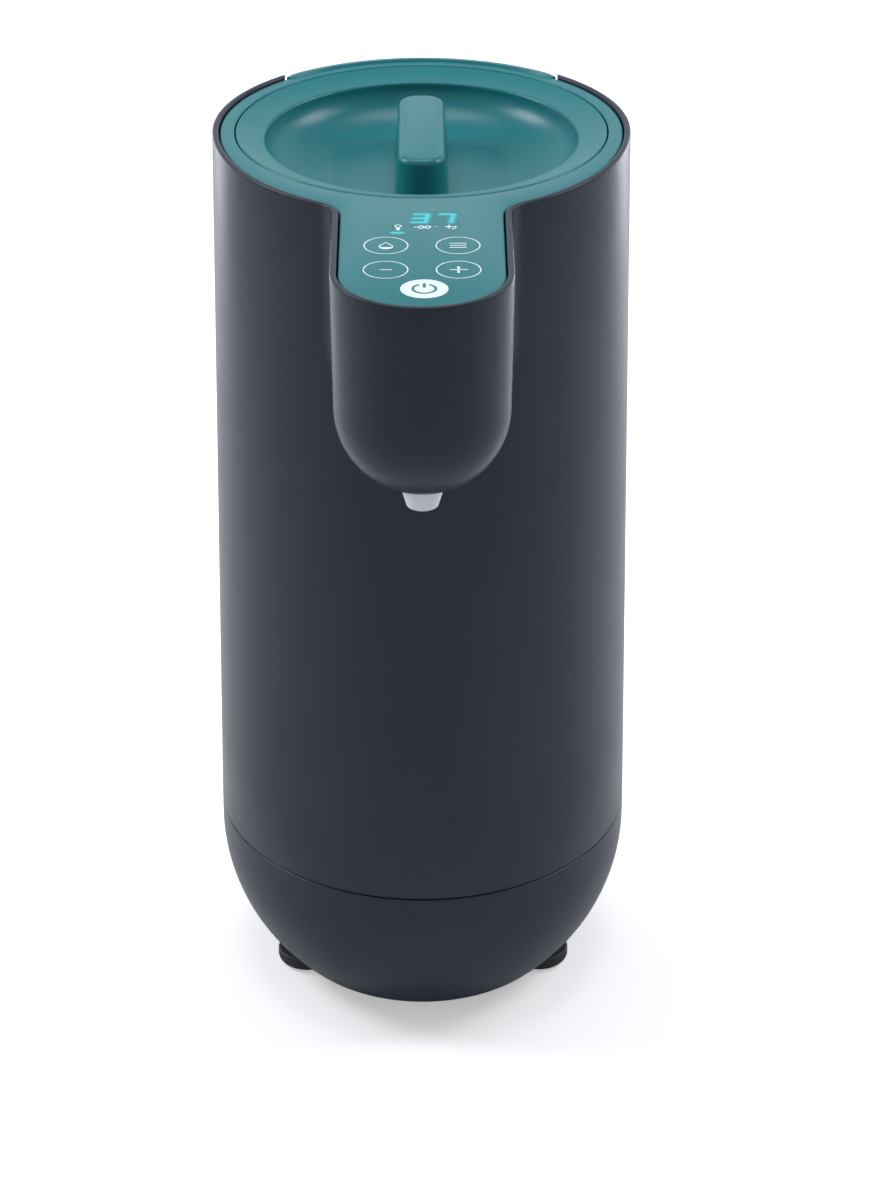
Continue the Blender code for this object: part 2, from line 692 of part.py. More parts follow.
def lip_mesh(name, half_width, inset, low):
    """The piece of the rim that belongs to the deck: an arc of the wall between two upright planes."""
    limit = math.pi - math.asin(half_width / BODY_HALF_WIDTH)
    turns = [limit + 2 * (math.pi - limit) * i / BODY_STEPS for i in range(BODY_STEPS + 1)]
    outer = [oval(turn, BODY_HEIGHT, LIP_INSET) for turn in turns]
    inner = []
    for turn in turns:
        x = oval(turn, BODY_HEIGHT, LIP_INSET)[0]
        half = BODY_HALF_WIDTH - inset
        reach = BODY_BACK_REACH - inset
        inner.append((x, reach * math.sqrt(max(1 - (x / half) ** 2, 0))))
    outline = outer[::-1] + inner
    return prism_mesh(name, outline, low, BODY_HEIGHT)


def boss_places():
    """Where the control board's screws stand."""
    return [(-BOSS_SIDE, -BOSS_BACK_REACH), (BOSS_SIDE, -BOSS_BACK_REACH), (0, -BOSS_REACH)]


# Lid: dished upper shell with its bar grip, liner and seal

def stadium(length, width, steps=ROUND_STEPS):
    """A slot outline along Y, clockwise seen from above."""
    half = length / 2 - width / 2
    front = arc((0, -half), width / 2, 0, -math.pi, steps)
    back = arc((0, half), width / 2, math.pi, 0, steps)
    return front + back


def lid():
    top = BODY_HEIGHT
    edge = LID_EDGE_ROUND
    crown = DECK_TOP
    bowl_edge = BODY_HEIGHT - BOWL_EDGE_DROP
    floor = BODY_HEIGHT - BOWL_DEPTH
    surface = arc((LID_RADIUS - edge, crown - edge), edge, 0, math.pi / 2, EDGE_STEPS)
    surface += [(BOWL_RADIUS + edge, bowl_edge + BOWL_EDGE_FALL), (BOWL_RADIUS, bowl_edge - BOWL_EDGE_FALL)]
    for i in range(1, ROUND_STEPS + 1):
        turn = math.pi / 2 * i / ROUND_STEPS
        across = BOWL_FLOOR_RADIUS + BOWL_SIDE_REACH * math.cos(turn)
        surface.append((across, floor + BOWL_SIDE_RISE * (1 - math.sin(turn))))
    underside = [
        (0, floor - BOWL_WALL),
        (BOWL_FLOOR_RADIUS, floor - BOWL_WALL),
        (BOWL_RADIUS - BOWL_WALL, floor + BOWL_WALL),
        (LID_SKIRT_RADIUS - BOWL_WALL, LID_SEAT + SEAT),
        (LID_SKIRT_RADIUS - BOWL_WALL, floor - BOWL_WALL),
        (LID_SKIRT_RADIUS, floor - BOWL_WALL),
        (LID_SKIRT_RADIUS, LID_SEAT + SEAT),
        (LID_RADIUS, LID_SEAT + SEAT),
    ]
    profile = surface + [(0, floor)] + underside
    bowl = piece("lid_bowl", turned_mesh("lid_bowl", profile), "teal_plastic")
    foot_width = GRIP_WIDTH + 2 * GRIP_DRAFT
    foot_length = GRIP_LENGTH + 2 * GRIP_DRAFT
    levels = []
    edge_centre = (GRIP_EDGE_ROUND, GRIP_EDGE_ROUND)
    for inset, drop in arc(edge_centre, GRIP_EDGE_ROUND, -math.pi / 2, -math.pi, BAR_STEPS):
        levels.append((top - drop, GRIP_LENGTH - 2 * inset, GRIP_WIDTH - 2 * inset))
    levels.append((floor - BURY, foot_length, foot_width))
    rings = [ring(stadium(length, width), height) for height, length, width in levels]
    bar = loft_mesh("grip_bar", rings, close_top=True, close_bottom=True)
    boolean(bowl, cutter("grip_bar", bar), "UNION")
    hollow_levels = [
        (top - GRIP_WALL, GRIP_LENGTH - 2 * GRIP_WALL, GRIP_WIDTH - 2 * GRIP_WALL),
        (floor - BOWL_WALL - CUT_OVERRUN, foot_length - 2 * GRIP_WALL, foot_width - 2 * GRIP_WALL),
    ]
    hollow = [ring(stadium(length, width), height) for height, length, width in hollow_levels]
    core = loft_mesh("grip_core", hollow, close_top=True, close_bottom=True)
    boolean(bowl, cutter("grip_core", core))
    liner_top = floor - BOWL_WALL - SEAT
    liner_low = liner_top - LINER_THICKNESS
    liner_profile = [
        (0, liner_top),
        (LID_SKIRT_RADIUS + SEAL_LIP, liner_top),
        (LID_SKIRT_RADIUS + SEAL_LIP, liner_top - LINER_THICKNESS / 2),
        (LID_SKIRT_RADIUS - BOWL_WALL, liner_top - LINER_THICKNESS / 2),
        (LID_SKIRT_RADIUS - BOWL_WALL, liner_low),
        (LINER_HUB_RADIUS, liner_low),
        (LINER_HUB_RADIUS - LINER_HUB_DROP, liner_low - LINER_HUB_DROP),
        (0, liner_low - LINER_HUB_DROP),
    ]
    piece("lid_liner", turned_mesh("lid_liner", liner_profile), "grey_plastic")
    seal_low = liner_top + SEAT
    seal_top = seal_low + SEAL_HEIGHT
    inside = LID_SKIRT_RADIUS + SEAT
    outside = COLLAR_RADIUS - SEAT
    waist = inside + (outside - inside) / 2
    seal_profile = [
        (inside, seal_top),
        (waist, seal_top),
        (outside, seal_top - SEAL_RIB_HEIGHT / 2),
        (waist, seal_top - SEAL_RIB_HEIGHT),
        (waist, seal_low + SEAL_RIB_HEIGHT),
        (outside, seal_low + SEAL_RIB_HEIGHT / 2),
        (waist, seal_low),
        (inside, seal_low),
    ]
    piece("lid_seal", turned_mesh("lid_seal", seal_profile), "silicone")


# Tank with its flange and outlet, the gasket above it and the felt wrap round it

def tank():
    inner = TANK_RADIUS - TANK_WALL
    centre = (TANK_RADIUS - TANK_CORNER, TANK_BOTTOM + TANK_CORNER)
    corner = arc(centre, TANK_CORNER, 0, -math.pi / 2, EDGE_STEPS)
    inside_corner = arc(centre, TANK_CORNER - TANK_WALL, -math.pi / 2, 0, EDGE_STEPS)
    profile = [
        (inner, TANK_TOP),
        (TANK_RADIUS + TANK_FLANGE, TANK_TOP),
        (TANK_RADIUS + TANK_FLANGE, TANK_TOP - TANK_WALL),
        (TANK_RADIUS, TANK_TOP - TANK_WALL),
        *corner,
        (0, TANK_BOTTOM),
        (0, TANK_BOTTOM + TANK_WALL),
        *inside_corner,
    ]
    cup = piece("tank", turned_mesh("tank", profile), "steel")
    outlet_low = TANK_BOTTOM - OUTLET_LENGTH
    spigot = rod_mesh("tank_outlet", OUTLET_RADIUS, outlet_low, TANK_BOTTOM + TANK_WALL / 2)
    boolean(cup, cutter("tank_outlet", spigot, (0, -OUTLET_REACH, 0)), "UNION")
    bore = rod_mesh("tank_outlet_bore", OUTLET_BORE, outlet_low - CUT_OVERRUN, TANK_BOTTOM + CUT_OVERRUN)
    boolean(cup, cutter("tank_outlet_bore", bore, (0, -OUTLET_REACH, 0)))
    gasket_profile = [
        (inner, GASKET_TOP),
        (TANK_RADIUS + TANK_FLANGE, GASKET_TOP),
        (TANK_RADIUS + TANK_FLANGE, GASKET_TOP - GASKET_THICKNESS),
        (inner, GASKET_TOP - GASKET_THICKNESS),
    ]
    piece("tank_gasket", turned_mesh("tank_gasket", gasket_profile), "silicone")
    wrap_low = TANK_BOTTOM + WRAP_STAND
    wrap_top = TANK_TOP - TANK_WALL - WRAP_TOP_GAP
    wrap_profile = [
        (TANK_RADIUS + SEAT, wrap_top),
        (TANK_RADIUS + SEAT + WRAP_THICKNESS, wrap_top),
        (TANK_RADIUS + SEAT + WRAP_THICKNESS, wrap_low),
        (TANK_RADIUS + SEAT, wrap_low),
    ]
    piece("insulation_wrap", turned_mesh("insulation_wrap", wrap_profile), "felt")


# Heating plate, its sheathed element, the two thermal cut-outs and the temperature sensor

def heater():
    plate = rod_mesh("heating_plate", PLATE_RADIUS, PLATE_BOTTOM, PLATE_TOP, steps=TURN_STEPS)
    piece("heating_plate", plate, "aluminium")
    height = PLATE_BOTTOM - SEAT - ELEMENT_TUBE
    start = math.pi / 2 + ELEMENT_GAP_ANGLE
    end = math.pi / 2 - ELEMENT_GAP_ANGLE + math.tau
    loop = [(x, y, height) for x, y in arc((0, 0), ELEMENT_RADIUS, start, end, SMALL_STEPS)]
    first, last = Vector(loop[0]), Vector(loop[-1])
    back = Vector((0, ELEMENT_TAIL, 0))
    points = [first + back, first, *loop[1:-1], last, last + back]
    tube_object("heating_element", points, ELEMENT_TUBE, "steel", TUBE_SIDES)
    hung_top = PLATE_BOTTOM - SEAT
    for name, side in (("thermal_cutout_left", -1), ("thermal_cutout_right", 1)):
        rod = rod_mesh(name, CUTOUT_RADIUS, hung_top - CUTOUT_HEIGHT, hung_top)
        piece(name, rod, "black_plastic", (side * CUTOUT_SPACING / 2, 0, 0))
    sensor = rod_mesh("temperature_sensor", SENSOR_RADIUS, hung_top - SENSOR_HEIGHT, hung_top)
    piece("temperature_sensor", sensor, "steel", (0, SENSOR_REACH, 0))


# Chassis ring on four legs

def leg_places():
    """The four corners where legs, bosses and base screws stand."""
    return [(x, y) for x in (-LEG_SIDE, LEG_SIDE) for y in (-LEG_REACH, LEG_REACH)]


def chassis():
    low = CHASSIS_TOP - CHASSIS_THICKNESS
    lip_inner = TANK_RADIUS + SEAT
    profile = [
        (lip_inner, CHASSIS_TOP + CHASSIS_LIP_HEIGHT),
        (lip_inner + CHASSIS_LIP, CHASSIS_TOP + CHASSIS_LIP_HEIGHT),
        (lip_inner + CHASSIS_LIP, CHASSIS_TOP),
        (CHASSIS_OUTER, CHASSIS_TOP),
        (CHASSIS_OUTER, low),
        (CHASSIS_INNER, low),
        (CHASSIS_INNER, CHASSIS_TOP),
        (lip_inner, CHASSIS_TOP),
    ]
    frame = piece("tank_chassis", turned_mesh("tank_chassis", profile), "black_plastic")
    for number, (x, y) in enumerate(leg_places()):
        leg = rod_mesh("leg", LEG_RADIUS, LEG_FOOT_HEIGHT, CHASSIS_TOP - BURY)
        boolean(frame, cutter(f"chassis_leg_{number}", leg, (x, y, 0)), "UNION")
        bore_top = LEG_FOOT_HEIGHT + LEG_BORE_DEPTH
        pilot = screw_hole("leg_pilot", LEG_FOOT_HEIGHT - CUT_OVERRUN, bore_top)
        boolean(frame, cutter(f"leg_pilot_{number}", pilot, (x, y, 0)))
    slot_radius = HOSE_RADIUS + HOSE_SLOT_CLEARANCE
    slot = rod_mesh("hose_slot", slot_radius, low - CUT_OVERRUN, CHASSIS_TOP + CUT_OVERRUN)
    boolean(frame, cutter("hose_slot", slot, (0, -OUTLET_REACH, 0)))


# Base cover, a rounded bowl with a spigot that plugs into the shell

def base_inset(height):
    """How far the base's wall is drawn in at a height, by its big rounding."""
    drop = max(BASE_ROUND_START - height, 0)
    return BASE_ROUNDING - math.sqrt(max(BASE_ROUNDING**2 - drop**2, 0))


def base_ring(height, inset):
    """The base's plan at a height."""
    return ring(whole(half_oval(SEAM_HEIGHT, base_inset(height) + inset)), height)


def foot_places():
    """Centres of the four feet."""
    return {
        "foot_front_left": (-FOOT_SIDE, -FOOT_FRONT),
        "foot_front_right": (FOOT_SIDE, -FOOT_FRONT),
        "foot_rear_left": (-FOOT_SIDE, FOOT_BACK),
        "foot_rear_right": (FOOT_SIDE, FOOT_BACK),
    }


def post_places():
    """Corners of the power board that stand on posts."""
    reaches = (POST_INSET - POWER_FRONT, POWER_BACK - POST_INSET)
    return [(x, y) for x in (-POST_SIDE, POST_SIDE) for y in reaches]


def base():
    top = SEAM_HEIGHT - SEAM_GAP / 2
    last_turn = math.asin((BASE_ROUND_START - BASE_CLEARANCE) / BASE_ROUNDING)
    heights = [top]
    for i in range(BASE_STEPS + 1):
        heights.append(BASE_ROUND_START - BASE_ROUNDING * math.sin(last_turn * i / BASE_STEPS))
    skin = loft_mesh("base_cover", [base_ring(height, 0) for height in heights], close_bottom=True)
    cover = piece("base_cover", skin, "dark_plastic")
    wall = cover.modifiers.new("wall", "SOLIDIFY")
    wall.thickness = BASE_WALL
    wall.offset = -1
    wall.use_even_offset = True
    inside = [base_ring(height, BASE_WALL / 2) for height in heights[:-1]]
    inside.append(ring(base_ring(heights[-1], BASE_WALL / 2), BASE_CLEARANCE + BASE_WALL / 2))
    core = cutter("base_core", loft_mesh("base_core", inside, close_top=True, close_bottom=True))

    def grow(name, mesh, place=(0, 0, 0), turn=(0, 0, 0)):
        """Joins a shape to the cover and trims it where it would pass through the wall."""
        shape = cutter(name, mesh, place, turn)
        boolean(shape, core, "INTERSECT")
        boolean(cover, shape, "UNION")

    for number, (x, y) in enumerate(leg_places()):
        boss = rod_mesh("base_boss", LEG_RADIUS, 0, LEG_FOOT_HEIGHT - SEAT)
        grow(f"base_boss_{number}", boss, (x, y, 0))
    for number, (x, y) in enumerate(post_places()):
        post = rod_mesh("board_post", POST_RADIUS, 0, POWER_HEIGHT - SEAT)
        grow(f"board_post_{number}", post, (x, y, 0))
    pad = rod_mesh("gland_pad", GLAND_PAD_RADIUS, GLAND_PAD_FACE, BODY_BACK_REACH + CUT_OVERRUN)
    grow("gland_pad", pad, (0, 0, GLAND_HEIGHT), TURN_TO_BACK)
    stand = rod_mesh("pump_stand", PUMP_STAND_RADIUS, BASE_CLEARANCE + BASE_WALL / 2, PUMP_BOTTOM - SEAT)
    boolean(cover, cutter("pump_stand", stand, (0, -OUTLET_REACH, 0)), "UNION")

    outer = whole(half_oval(SEAM_HEIGHT, SHELL_WALL + SEAT))
    inner = whole(half_oval(SEAM_HEIGHT, SHELL_WALL + SEAT + SPIGOT_WALL))
    rise = SEAM_HEIGHT + SPIGOT_HEIGHT
    root = SEAM_HEIGHT - SPIGOT_HEIGHT
    sides = [(outer, rise), (outer, root), (inner, root), (inner, rise), (outer, rise)]
    sleeve = loft_mesh("spigot", [ring(outline, height) for outline, height in sides])
    boolean(cover, cutter("spigot", sleeve), "UNION")

    for number, (x, y) in enumerate(leg_places()):
        shoulder = LEG_FOOT_HEIGHT - SEAT - SCREW_SHOULDER
        counterbore = rod_mesh("counterbore", SCREW_HEAD_RADIUS + SEAT, -CUT_OVERRUN, shoulder)
        hole = screw_hole("screw_hole", shoulder - CUT_OVERRUN, LEG_FOOT_HEIGHT + CUT_OVERRUN)
        boolean(cover, cutter(f"counterbore_{number}", counterbore, (x, y, 0)))
        boolean(cover, cutter(f"screw_hole_{number}", hole, (x, y, 0)))
    for number, (x, y) in enumerate(post_places()):
        hole = screw_hole("post_hole", BASE_FLOOR + SCREW_SHOULDER, POWER_HEIGHT + CUT_OVERRUN)
        boolean(cover, cutter(f"post_hole_{number}", hole, (x, y, 0)))
    for name, (x, y) in foot_places().items():
        pocket = rod_mesh("foot_pocket", FOOT_RADIUS + SEAT, -CUT_OVERRUN, foot_top() + SEAT)
        boolean(cover, cutter(name + "_pocket", pocket, (x, y, 0)))
    for number in range(VENT_COUNT):
        x = VENT_PITCH * (number - (VENT_COUNT - 1) / 2)
        low = (x - VENT_WIDTH / 2, -VENT_LENGTH / 2, -CUT_OVERRUN)
        high = (x + VENT_WIDTH / 2, VENT_LENGTH / 2, BASE_FLOOR + CUT_OVERRUN)
        boolean(cover, cutter(f"vent_{number}", box_mesh("vent", low, high)))
    socket_low = GLAND_SEAT - SEAT
    behind = BODY_BACK_REACH + CUT_OVERRUN
    socket = rod_mesh("gland_socket", GLAND_RADIUS + GLAND_FLANGE + SEAT, socket_low, behind)
    boolean(cover, cutter("gland_socket", socket, (0, 0, GLAND_HEIGHT), TURN_TO_BACK))
    way = rod_mesh("gland_way", GLAND_RADIUS + SEAT, GLAND_PAD_FACE - CUT_OVERRUN, behind)
    boolean(cover, cutter("gland_way", way, (0, 0, GLAND_HEIGHT), TURN_TO_BACK))


def foot_top():
    """Height where the feet end in their pockets."""
    return BASE_CLEARANCE + FOOT_POCKET


def feet():
    for name, (x, y) in foot_places().items():
        rounded = arc((FOOT_RADIUS - FOOT_ROUND, FOOT_ROUND), FOOT_ROUND, 0, -math.pi / 2, EDGE_STEPS)
        profile = [(0, foot_top()), (FOOT_RADIUS, foot_top()), *rounded, (0, 0)]
        piece(name, turned_mesh(name, profile, SMALL_STEPS), "rubber", (x, y, 0))


def base_screws():
    head_top = LEG_FOOT_HEIGHT - SEAT - SCREW_SHOULDER - SEAT
    for number, (x, y) in enumerate(leg_places(), 1):
        profile = [
            (0, head_top + BASE_SCREW_LENGTH),
            (SCREW_RADIUS, head_top + BASE_SCREW_LENGTH),
            (SCREW_RADIUS, head_top),
            (SCREW_HEAD_RADIUS, head_top),
            (SCREW_HEAD_RADIUS, head_top - SCREW_HEAD_HEIGHT),
            (0, head_top - SCREW_HEAD_HEIGHT),
        ]
        piece(f"base_screw_{number}", turned_mesh("base_screw", profile, SCREW_STEPS), "steel", (x, y, 0))


# Cord gland in the back of the base, with its nut inside

def gland():
    outer = GLAND_RADIUS + GLAND_FLANGE
    inner_end = GLAND_PAD_FACE - GLAND_INSIDE
    profile = [
        (GLAND_BORE, GLAND_SEAT + GLAND_OUTSIDE),
        (outer, GLAND_SEAT + GLAND_OUTSIDE),
        (outer, GLAND_SEAT),
        (GLAND_RADIUS, GLAND_SEAT),
        (GLAND_RADIUS, inner_end),
        (GLAND_BORE, inner_end),
    ]
    bush = turned_mesh("cord_gland", profile, SMALL_STEPS)
    body = piece("cord_gland", bush, "black_plastic", (0, 0, GLAND_HEIGHT))
    body.rotation_euler = TURN_TO_BACK
    nut_top = GLAND_PAD_FACE - SEAT
    nut = rod_mesh("gland_nut", outer, nut_top - GLAND_NUT_HEIGHT, nut_top, steps=NUT_SIDES)
    ring_nut = piece("gland_nut", nut, "black_plastic", (0, 0, GLAND_HEIGHT))
    ring_nut.rotation_euler = TURN_TO_BACK
    thread = rod_mesh("nut_bore", GLAND_RADIUS + SEAT, inner_end - CUT_OVERRUN, nut_top + CUT_OVERRUN)
    boolean(ring_nut, cutter("nut_bore", thread, (0, 0, GLAND_HEIGHT), TURN_TO_BACK))


# Pump: case with stator, flange with the rotor's can, impeller on its shaft, and the volute cover

def pump():
    here = (0, -OUTLET_REACH, 0)
    case_top = PUMP_JOINT - SEAT - PUMP_FLANGE - SEAT
    case_bore = PUMP_RADIUS - PUMP_WALL
    case_profile = [
        (case_bore, case_top),
        (PUMP_RADIUS, case_top),
        (PUMP_RADIUS, PUMP_BOTTOM),
        (0, PUMP_BOTTOM),
        (0, PUMP_BOTTOM + PUMP_WALL),
        (case_bore, PUMP_BOTTOM + PUMP_WALL),
    ]
    piece("pump_case", turned_mesh("pump_case", case_profile, PUMP_STEPS), "black_plastic", here)

    can_bore = ROTOR_RADIUS + ROTOR_CLEARANCE
    rotor_low = PUMP_JOINT + ROTOR_CLEARANCE - ROTOR_LENGTH
    can_floor = rotor_low - ROTOR_CLEARANCE
    body_top = PUMP_JOINT - SEAT
    body_profile = [
        (can_bore, body_top),
        (PUMP_RADIUS, body_top),
        (PUMP_RADIUS, body_top - PUMP_FLANGE),
        (can_bore + CAN_WALL, body_top - PUMP_FLANGE),
        (can_bore + CAN_WALL, can_floor - CAN_WALL),
        (0, can_floor - CAN_WALL),
        (0, can_floor),
        (can_bore, can_floor),
    ]
    piece("pump_body", turned_mesh("pump_body", body_profile, PUMP_STEPS), "grey_plastic", here)

    stator_inner = can_bore + CAN_WALL + SEAT
    stator_low = PUMP_BOTTOM + PUMP_WALL + SEAT
    stator_top = case_top - STATOR_TOP_GAP
    stator_profile = [
        (stator_inner, stator_top),
        (case_bore - SEAT, stator_top),
        (case_bore - SEAT, stator_low),
        (stator_inner, stator_low),
    ]
    piece("pump_stator", turned_mesh("pump_stator", stator_profile, PUMP_STEPS), "steel", here)

    plate_low = PUMP_JOINT + ROTOR_CLEARANCE
    plate_top = plate_low + IMPELLER_PLATE
    hub_top = plate_top + VANE_HEIGHT
    bore_top = hub_top - HUB_CAP
    wheel_profile = [
        (0, hub_top),
        (HUB_RADIUS, hub_top),
        (HUB_RADIUS, plate_top),
        (IMPELLER_RADIUS, plate_top),
        (IMPELLER_RADIUS, plate_low),
        (ROTOR_RADIUS, plate_low),
        (ROTOR_RADIUS, rotor_low),
        (SHAFT_RADIUS + SHAFT_CLEARANCE, rotor_low),
        (SHAFT_RADIUS + SHAFT_CLEARANCE, bore_top),
        (0, bore_top),
    ]
    wheel = piece("impeller", turned_mesh("impeller", wheel_profile, SMALL_STEPS), "white_plastic", here)
    inner_end = HUB_RADIUS - BURY
    outer_end = IMPELLER_RADIUS - VANE_TIP_INSET
    for number in range(VANE_COUNT):
        low = (inner_end, -VANE_THICKNESS / 2, plate_top - BURY)
        high = (outer_end, VANE_THICKNESS / 2, hub_top - VANE_TOP_DROP)
        turn = (0, 0, math.tau * number / VANE_COUNT)
        boolean(wheel, cutter(f"vane_{number}", box_mesh("vane", low, high), here, turn), "UNION")
    shaft_low = can_floor + SEAT
    shaft = rod_mesh("pump_shaft", SHAFT_RADIUS, shaft_low, bore_top - SHAFT_CLEARANCE, steps=SCREW_STEPS)
    piece("pump_shaft", shaft, "steel", here)

    chamber_top = PUMP_JOINT + CHAMBER_HEIGHT
    cover_profile = [
        (BARB_BORE, PUMP_TOP + BARB_LENGTH),
        (BARB_RADIUS, PUMP_TOP + BARB_LENGTH),
        (BARB_RADIUS, PUMP_TOP),
        (PUMP_RADIUS, PUMP_TOP),
        (PUMP_RADIUS, PUMP_JOINT),
        (CHAMBER_RADIUS, PUMP_JOINT),
        (CHAMBER_RADIUS, chamber_top),
        (BARB_BORE, chamber_top),
    ]
    cover = piece("pump_cover", turned_mesh("pump_cover", cover_profile, PUMP_STEPS), "black_plastic", here)
    exit_place = (0, -OUTLET_REACH - DISCHARGE_OFFSET, 0)
    barb = rod_mesh("discharge_barb", SMALL_BARB_RADIUS, PUMP_TOP - BURY, PUMP_TOP + BARB_LENGTH)
    boolean(cover, cutter("discharge_barb", barb, exit_place), "UNION")
    passage_low = chamber_top - SMALL_BARB_BORE
    barb_top = PUMP_TOP + BARB_LENGTH
    passage = rod_mesh("discharge_bore", SMALL_BARB_BORE, passage_low, barb_top + CUT_OVERRUN)
    boolean(cover, cutter("discharge_bore", passage, exit_place))


# Hoses with their clips

def clip(name, hose_radius, height, place, turn=(0, 0, 0)):
    """A spring band round a hose, centred at a height along its axis."""
    inner = hose_radius + SEAT
    low, top = height - CLIP_WIDTH / 2, height + CLIP_WIDTH / 2
    profile = [(inner, top), (inner + CLIP_BAND, top), (inner + CLIP_BAND, low), (inner, low)]
    band = piece(name, turned_mesh(name, profile, SMALL_STEPS), "steel", place)
    band.rotation_euler = turn


def hoses():
    low = PUMP_TOP + SEAT
    high = TANK_BOTTOM - CHASSIS_THICKNESS - SEAT
    here = (0, -OUTLET_REACH, 0)
    bore = BARB_RADIUS + SEAT
    profile = [(bore, high), (HOSE_RADIUS, high), (HOSE_RADIUS, low), (bore, low)]
    piece("suction_hose", turned_mesh("suction_hose", profile, SMALL_STEPS), "silicone", here)
    clip("hose_clip_1", HOSE_RADIUS, low + CLIP_FROM_END, here)
    clip("hose_clip_2", HOSE_RADIUS, high - CLIP_FROM_END, here)

    start_y = -OUTLET_REACH - DISCHARGE_OFFSET
    end_low = HOLDER_TOP + SEAT
    bend = (SPOUT_REACH - RISER_REACH) / 2
    straight = BARB_LENGTH + SMALL_HOSE_RADIUS / 2
    spring = end_low + straight
    across = bend * math.sqrt(1 / 2)
    route = [
        (0, start_y, low),
        (0, start_y, low + straight),
        (0, -RISER_REACH, CHASSIS_TOP - CHASSIS_THICKNESS - SEAT),
        (0, -RISER_REACH, TANK_BOTTOM + WRAP_STAND),
        (0, -RISER_REACH, SPOUT_BOTTOM),
        (0, -RISER_REACH, spring),
        (0, -RISER_REACH - bend + across, spring + across),
        (0, -RISER_REACH - bend, spring + bend),
        (0, -SPOUT_REACH + bend - across, spring + across),
        (0, -SPOUT_REACH, spring),
        (0, -SPOUT_REACH, end_low),
    ]
    path = smooth_path(route, HOSE_STEPS)
    hose_wall = SMALL_HOSE_RADIUS * math.cos(math.pi / TUBE_SIDES) - SMALL_BARB_RADIUS - SEAT
    tube_object("delivery_hose", path, SMALL_HOSE_RADIUS, "silicone", TUBE_SIDES, wall=hose_wall)
    clip("hose_clip_3", SMALL_HOSE_RADIUS, low + CLIP_FROM_END, (0, start_y, 0))
    clip("hose_clip_4", SMALL_HOSE_RADIUS, end_low + CLIP_FROM_END, (0, -SPOUT_REACH, 0))


# Nozzle, which pulls down out of its holder

def nozzle():
    here = (0, -SPOUT_REACH, 0)
    top = HOLDER_TOP - HOLDER_FLOOR - SEAT
    edge_centre = (NOZZLE_TIP_RADIUS - NOZZLE_TIP_ROUND, NOZZLE_TIP + NOZZLE_TIP_ROUND)
    edge = arc(edge_centre, NOZZLE_TIP_ROUND, 0, -math.pi / 2, EDGE_STEPS)
    profile = [
        (NOZZLE_BORE, top),
        (NOZZLE_RADIUS, top),
        (NOZZLE_RADIUS, SPOUT_BOTTOM),
        *edge,
        (NOZZLE_BORE, NOZZLE_TIP),
    ]
    piece("nozzle", turned_mesh("nozzle", profile, SMALL_STEPS), "white_plastic", here)
    holder_profile = [
        (SMALL_BARB_BORE, HOLDER_TOP + BARB_LENGTH),
        (SMALL_BARB_RADIUS, HOLDER_TOP + BARB_LENGTH),
        (SMALL_BARB_RADIUS, HOLDER_TOP),
        (HOLDER_RADIUS, HOLDER_TOP),
        (HOLDER_RADIUS, HOLDER_LOW),
        (NOZZLE_RADIUS + SEAT, HOLDER_LOW),
        (NOZZLE_RADIUS + SEAT, HOLDER_TOP - HOLDER_FLOOR),
        (SMALL_BARB_BORE, HOLDER_TOP - HOLDER_FLOOR),
    ]
    piece("nozzle_holder", turned_mesh("nozzle_holder", holder_profile, SMALL_STEPS), "grey_plastic", here)


# Control board under the tongue, with the display, the touch pads and its screws

def touch_places():
    """Centres of the five touch areas printed on the deck."""
    return {
        "touch_pad_rear_left": (-KEY_SIDE, -KEY_REAR_REACH),
        "touch_pad_rear_right": (KEY_SIDE, -KEY_REAR_REACH),
        "touch_pad_minus": (-KEY_SIDE, -KEY_FRONT_REACH),
        "touch_pad_plus": (KEY_SIDE, -KEY_FRONT_REACH),
        "touch_pad_power": (0, -POWER_KEY_REACH),
    }


def control_board():
    front = arc((0, -SPOUT_REACH), BOARD_HALF_WIDTH, 0, -math.pi, 2 * ROUND_STEPS)
    outline = [(BOARD_HALF_WIDTH, -BOARD_BACK), *front, (-BOARD_HALF_WIDTH, -BOARD_BACK)]
    sheet = prism_mesh("control_board", outline, BOARD_UNDER, BOARD_TOP)
    board = piece("control_board", sheet, "circuit_board")
    low = BOARD_TOP + SEAT
    top = DECK_UNDER - SEAT
    display = box_mesh(
        "digit_display",
        (-DISPLAY_WIDTH / 2, -DISPLAY_REACH - DISPLAY_DEPTH / 2, low),
        (DISPLAY_WIDTH / 2, -DISPLAY_REACH + DISPLAY_DEPTH / 2, top),
    )
    piece("digit_display", display, "black_plastic")
    for name, (x, y) in touch_places().items():
        piece(name, rod_mesh(name, TOUCH_PAD_RADIUS, low, top, steps=SCREW_STEPS), "rubber", (x, y, 0))
    for number, (x, y) in enumerate(boss_places(), 1):
        hole = screw_hole("board_hole", BOARD_UNDER - CUT_OVERRUN, BOARD_TOP + CUT_OVERRUN)
        boolean(board, cutter(f"board_hole_{number}", hole, (x, y, 0)))
        head_top = BOARD_UNDER - SEAT
        shank_top = BOARD_TOP + BOARD_SCREW_BITE
        profile = [
            (0, shank_top),
            (SCREW_RADIUS, shank_top),
            (SCREW_RADIUS, head_top),
            (SCREW_HEAD_RADIUS, head_top),
            (SCREW_HEAD_RADIUS, head_top - SCREW_HEAD_HEIGHT),
            (0, head_top - SCREW_HEAD_HEIGHT),
        ]
        piece(f"board_screw_{number}", turned_mesh("board_screw", profile, SCREW_STEPS), "steel", (x, y, 0))


# Power board in the base, with its parts, its screws and the harness up to the control board

def seated_block(name, size, place, material):
    """A block that stands on the power board, centred at a place."""
    (width, depth, height), (x, y) = size, place
    low = POWER_TOP + SEAT
    corners = (x - width / 2, y - depth / 2, low), (x + width / 2, y + depth / 2, low + height)
    piece(name, box_mesh(name, *corners), material)


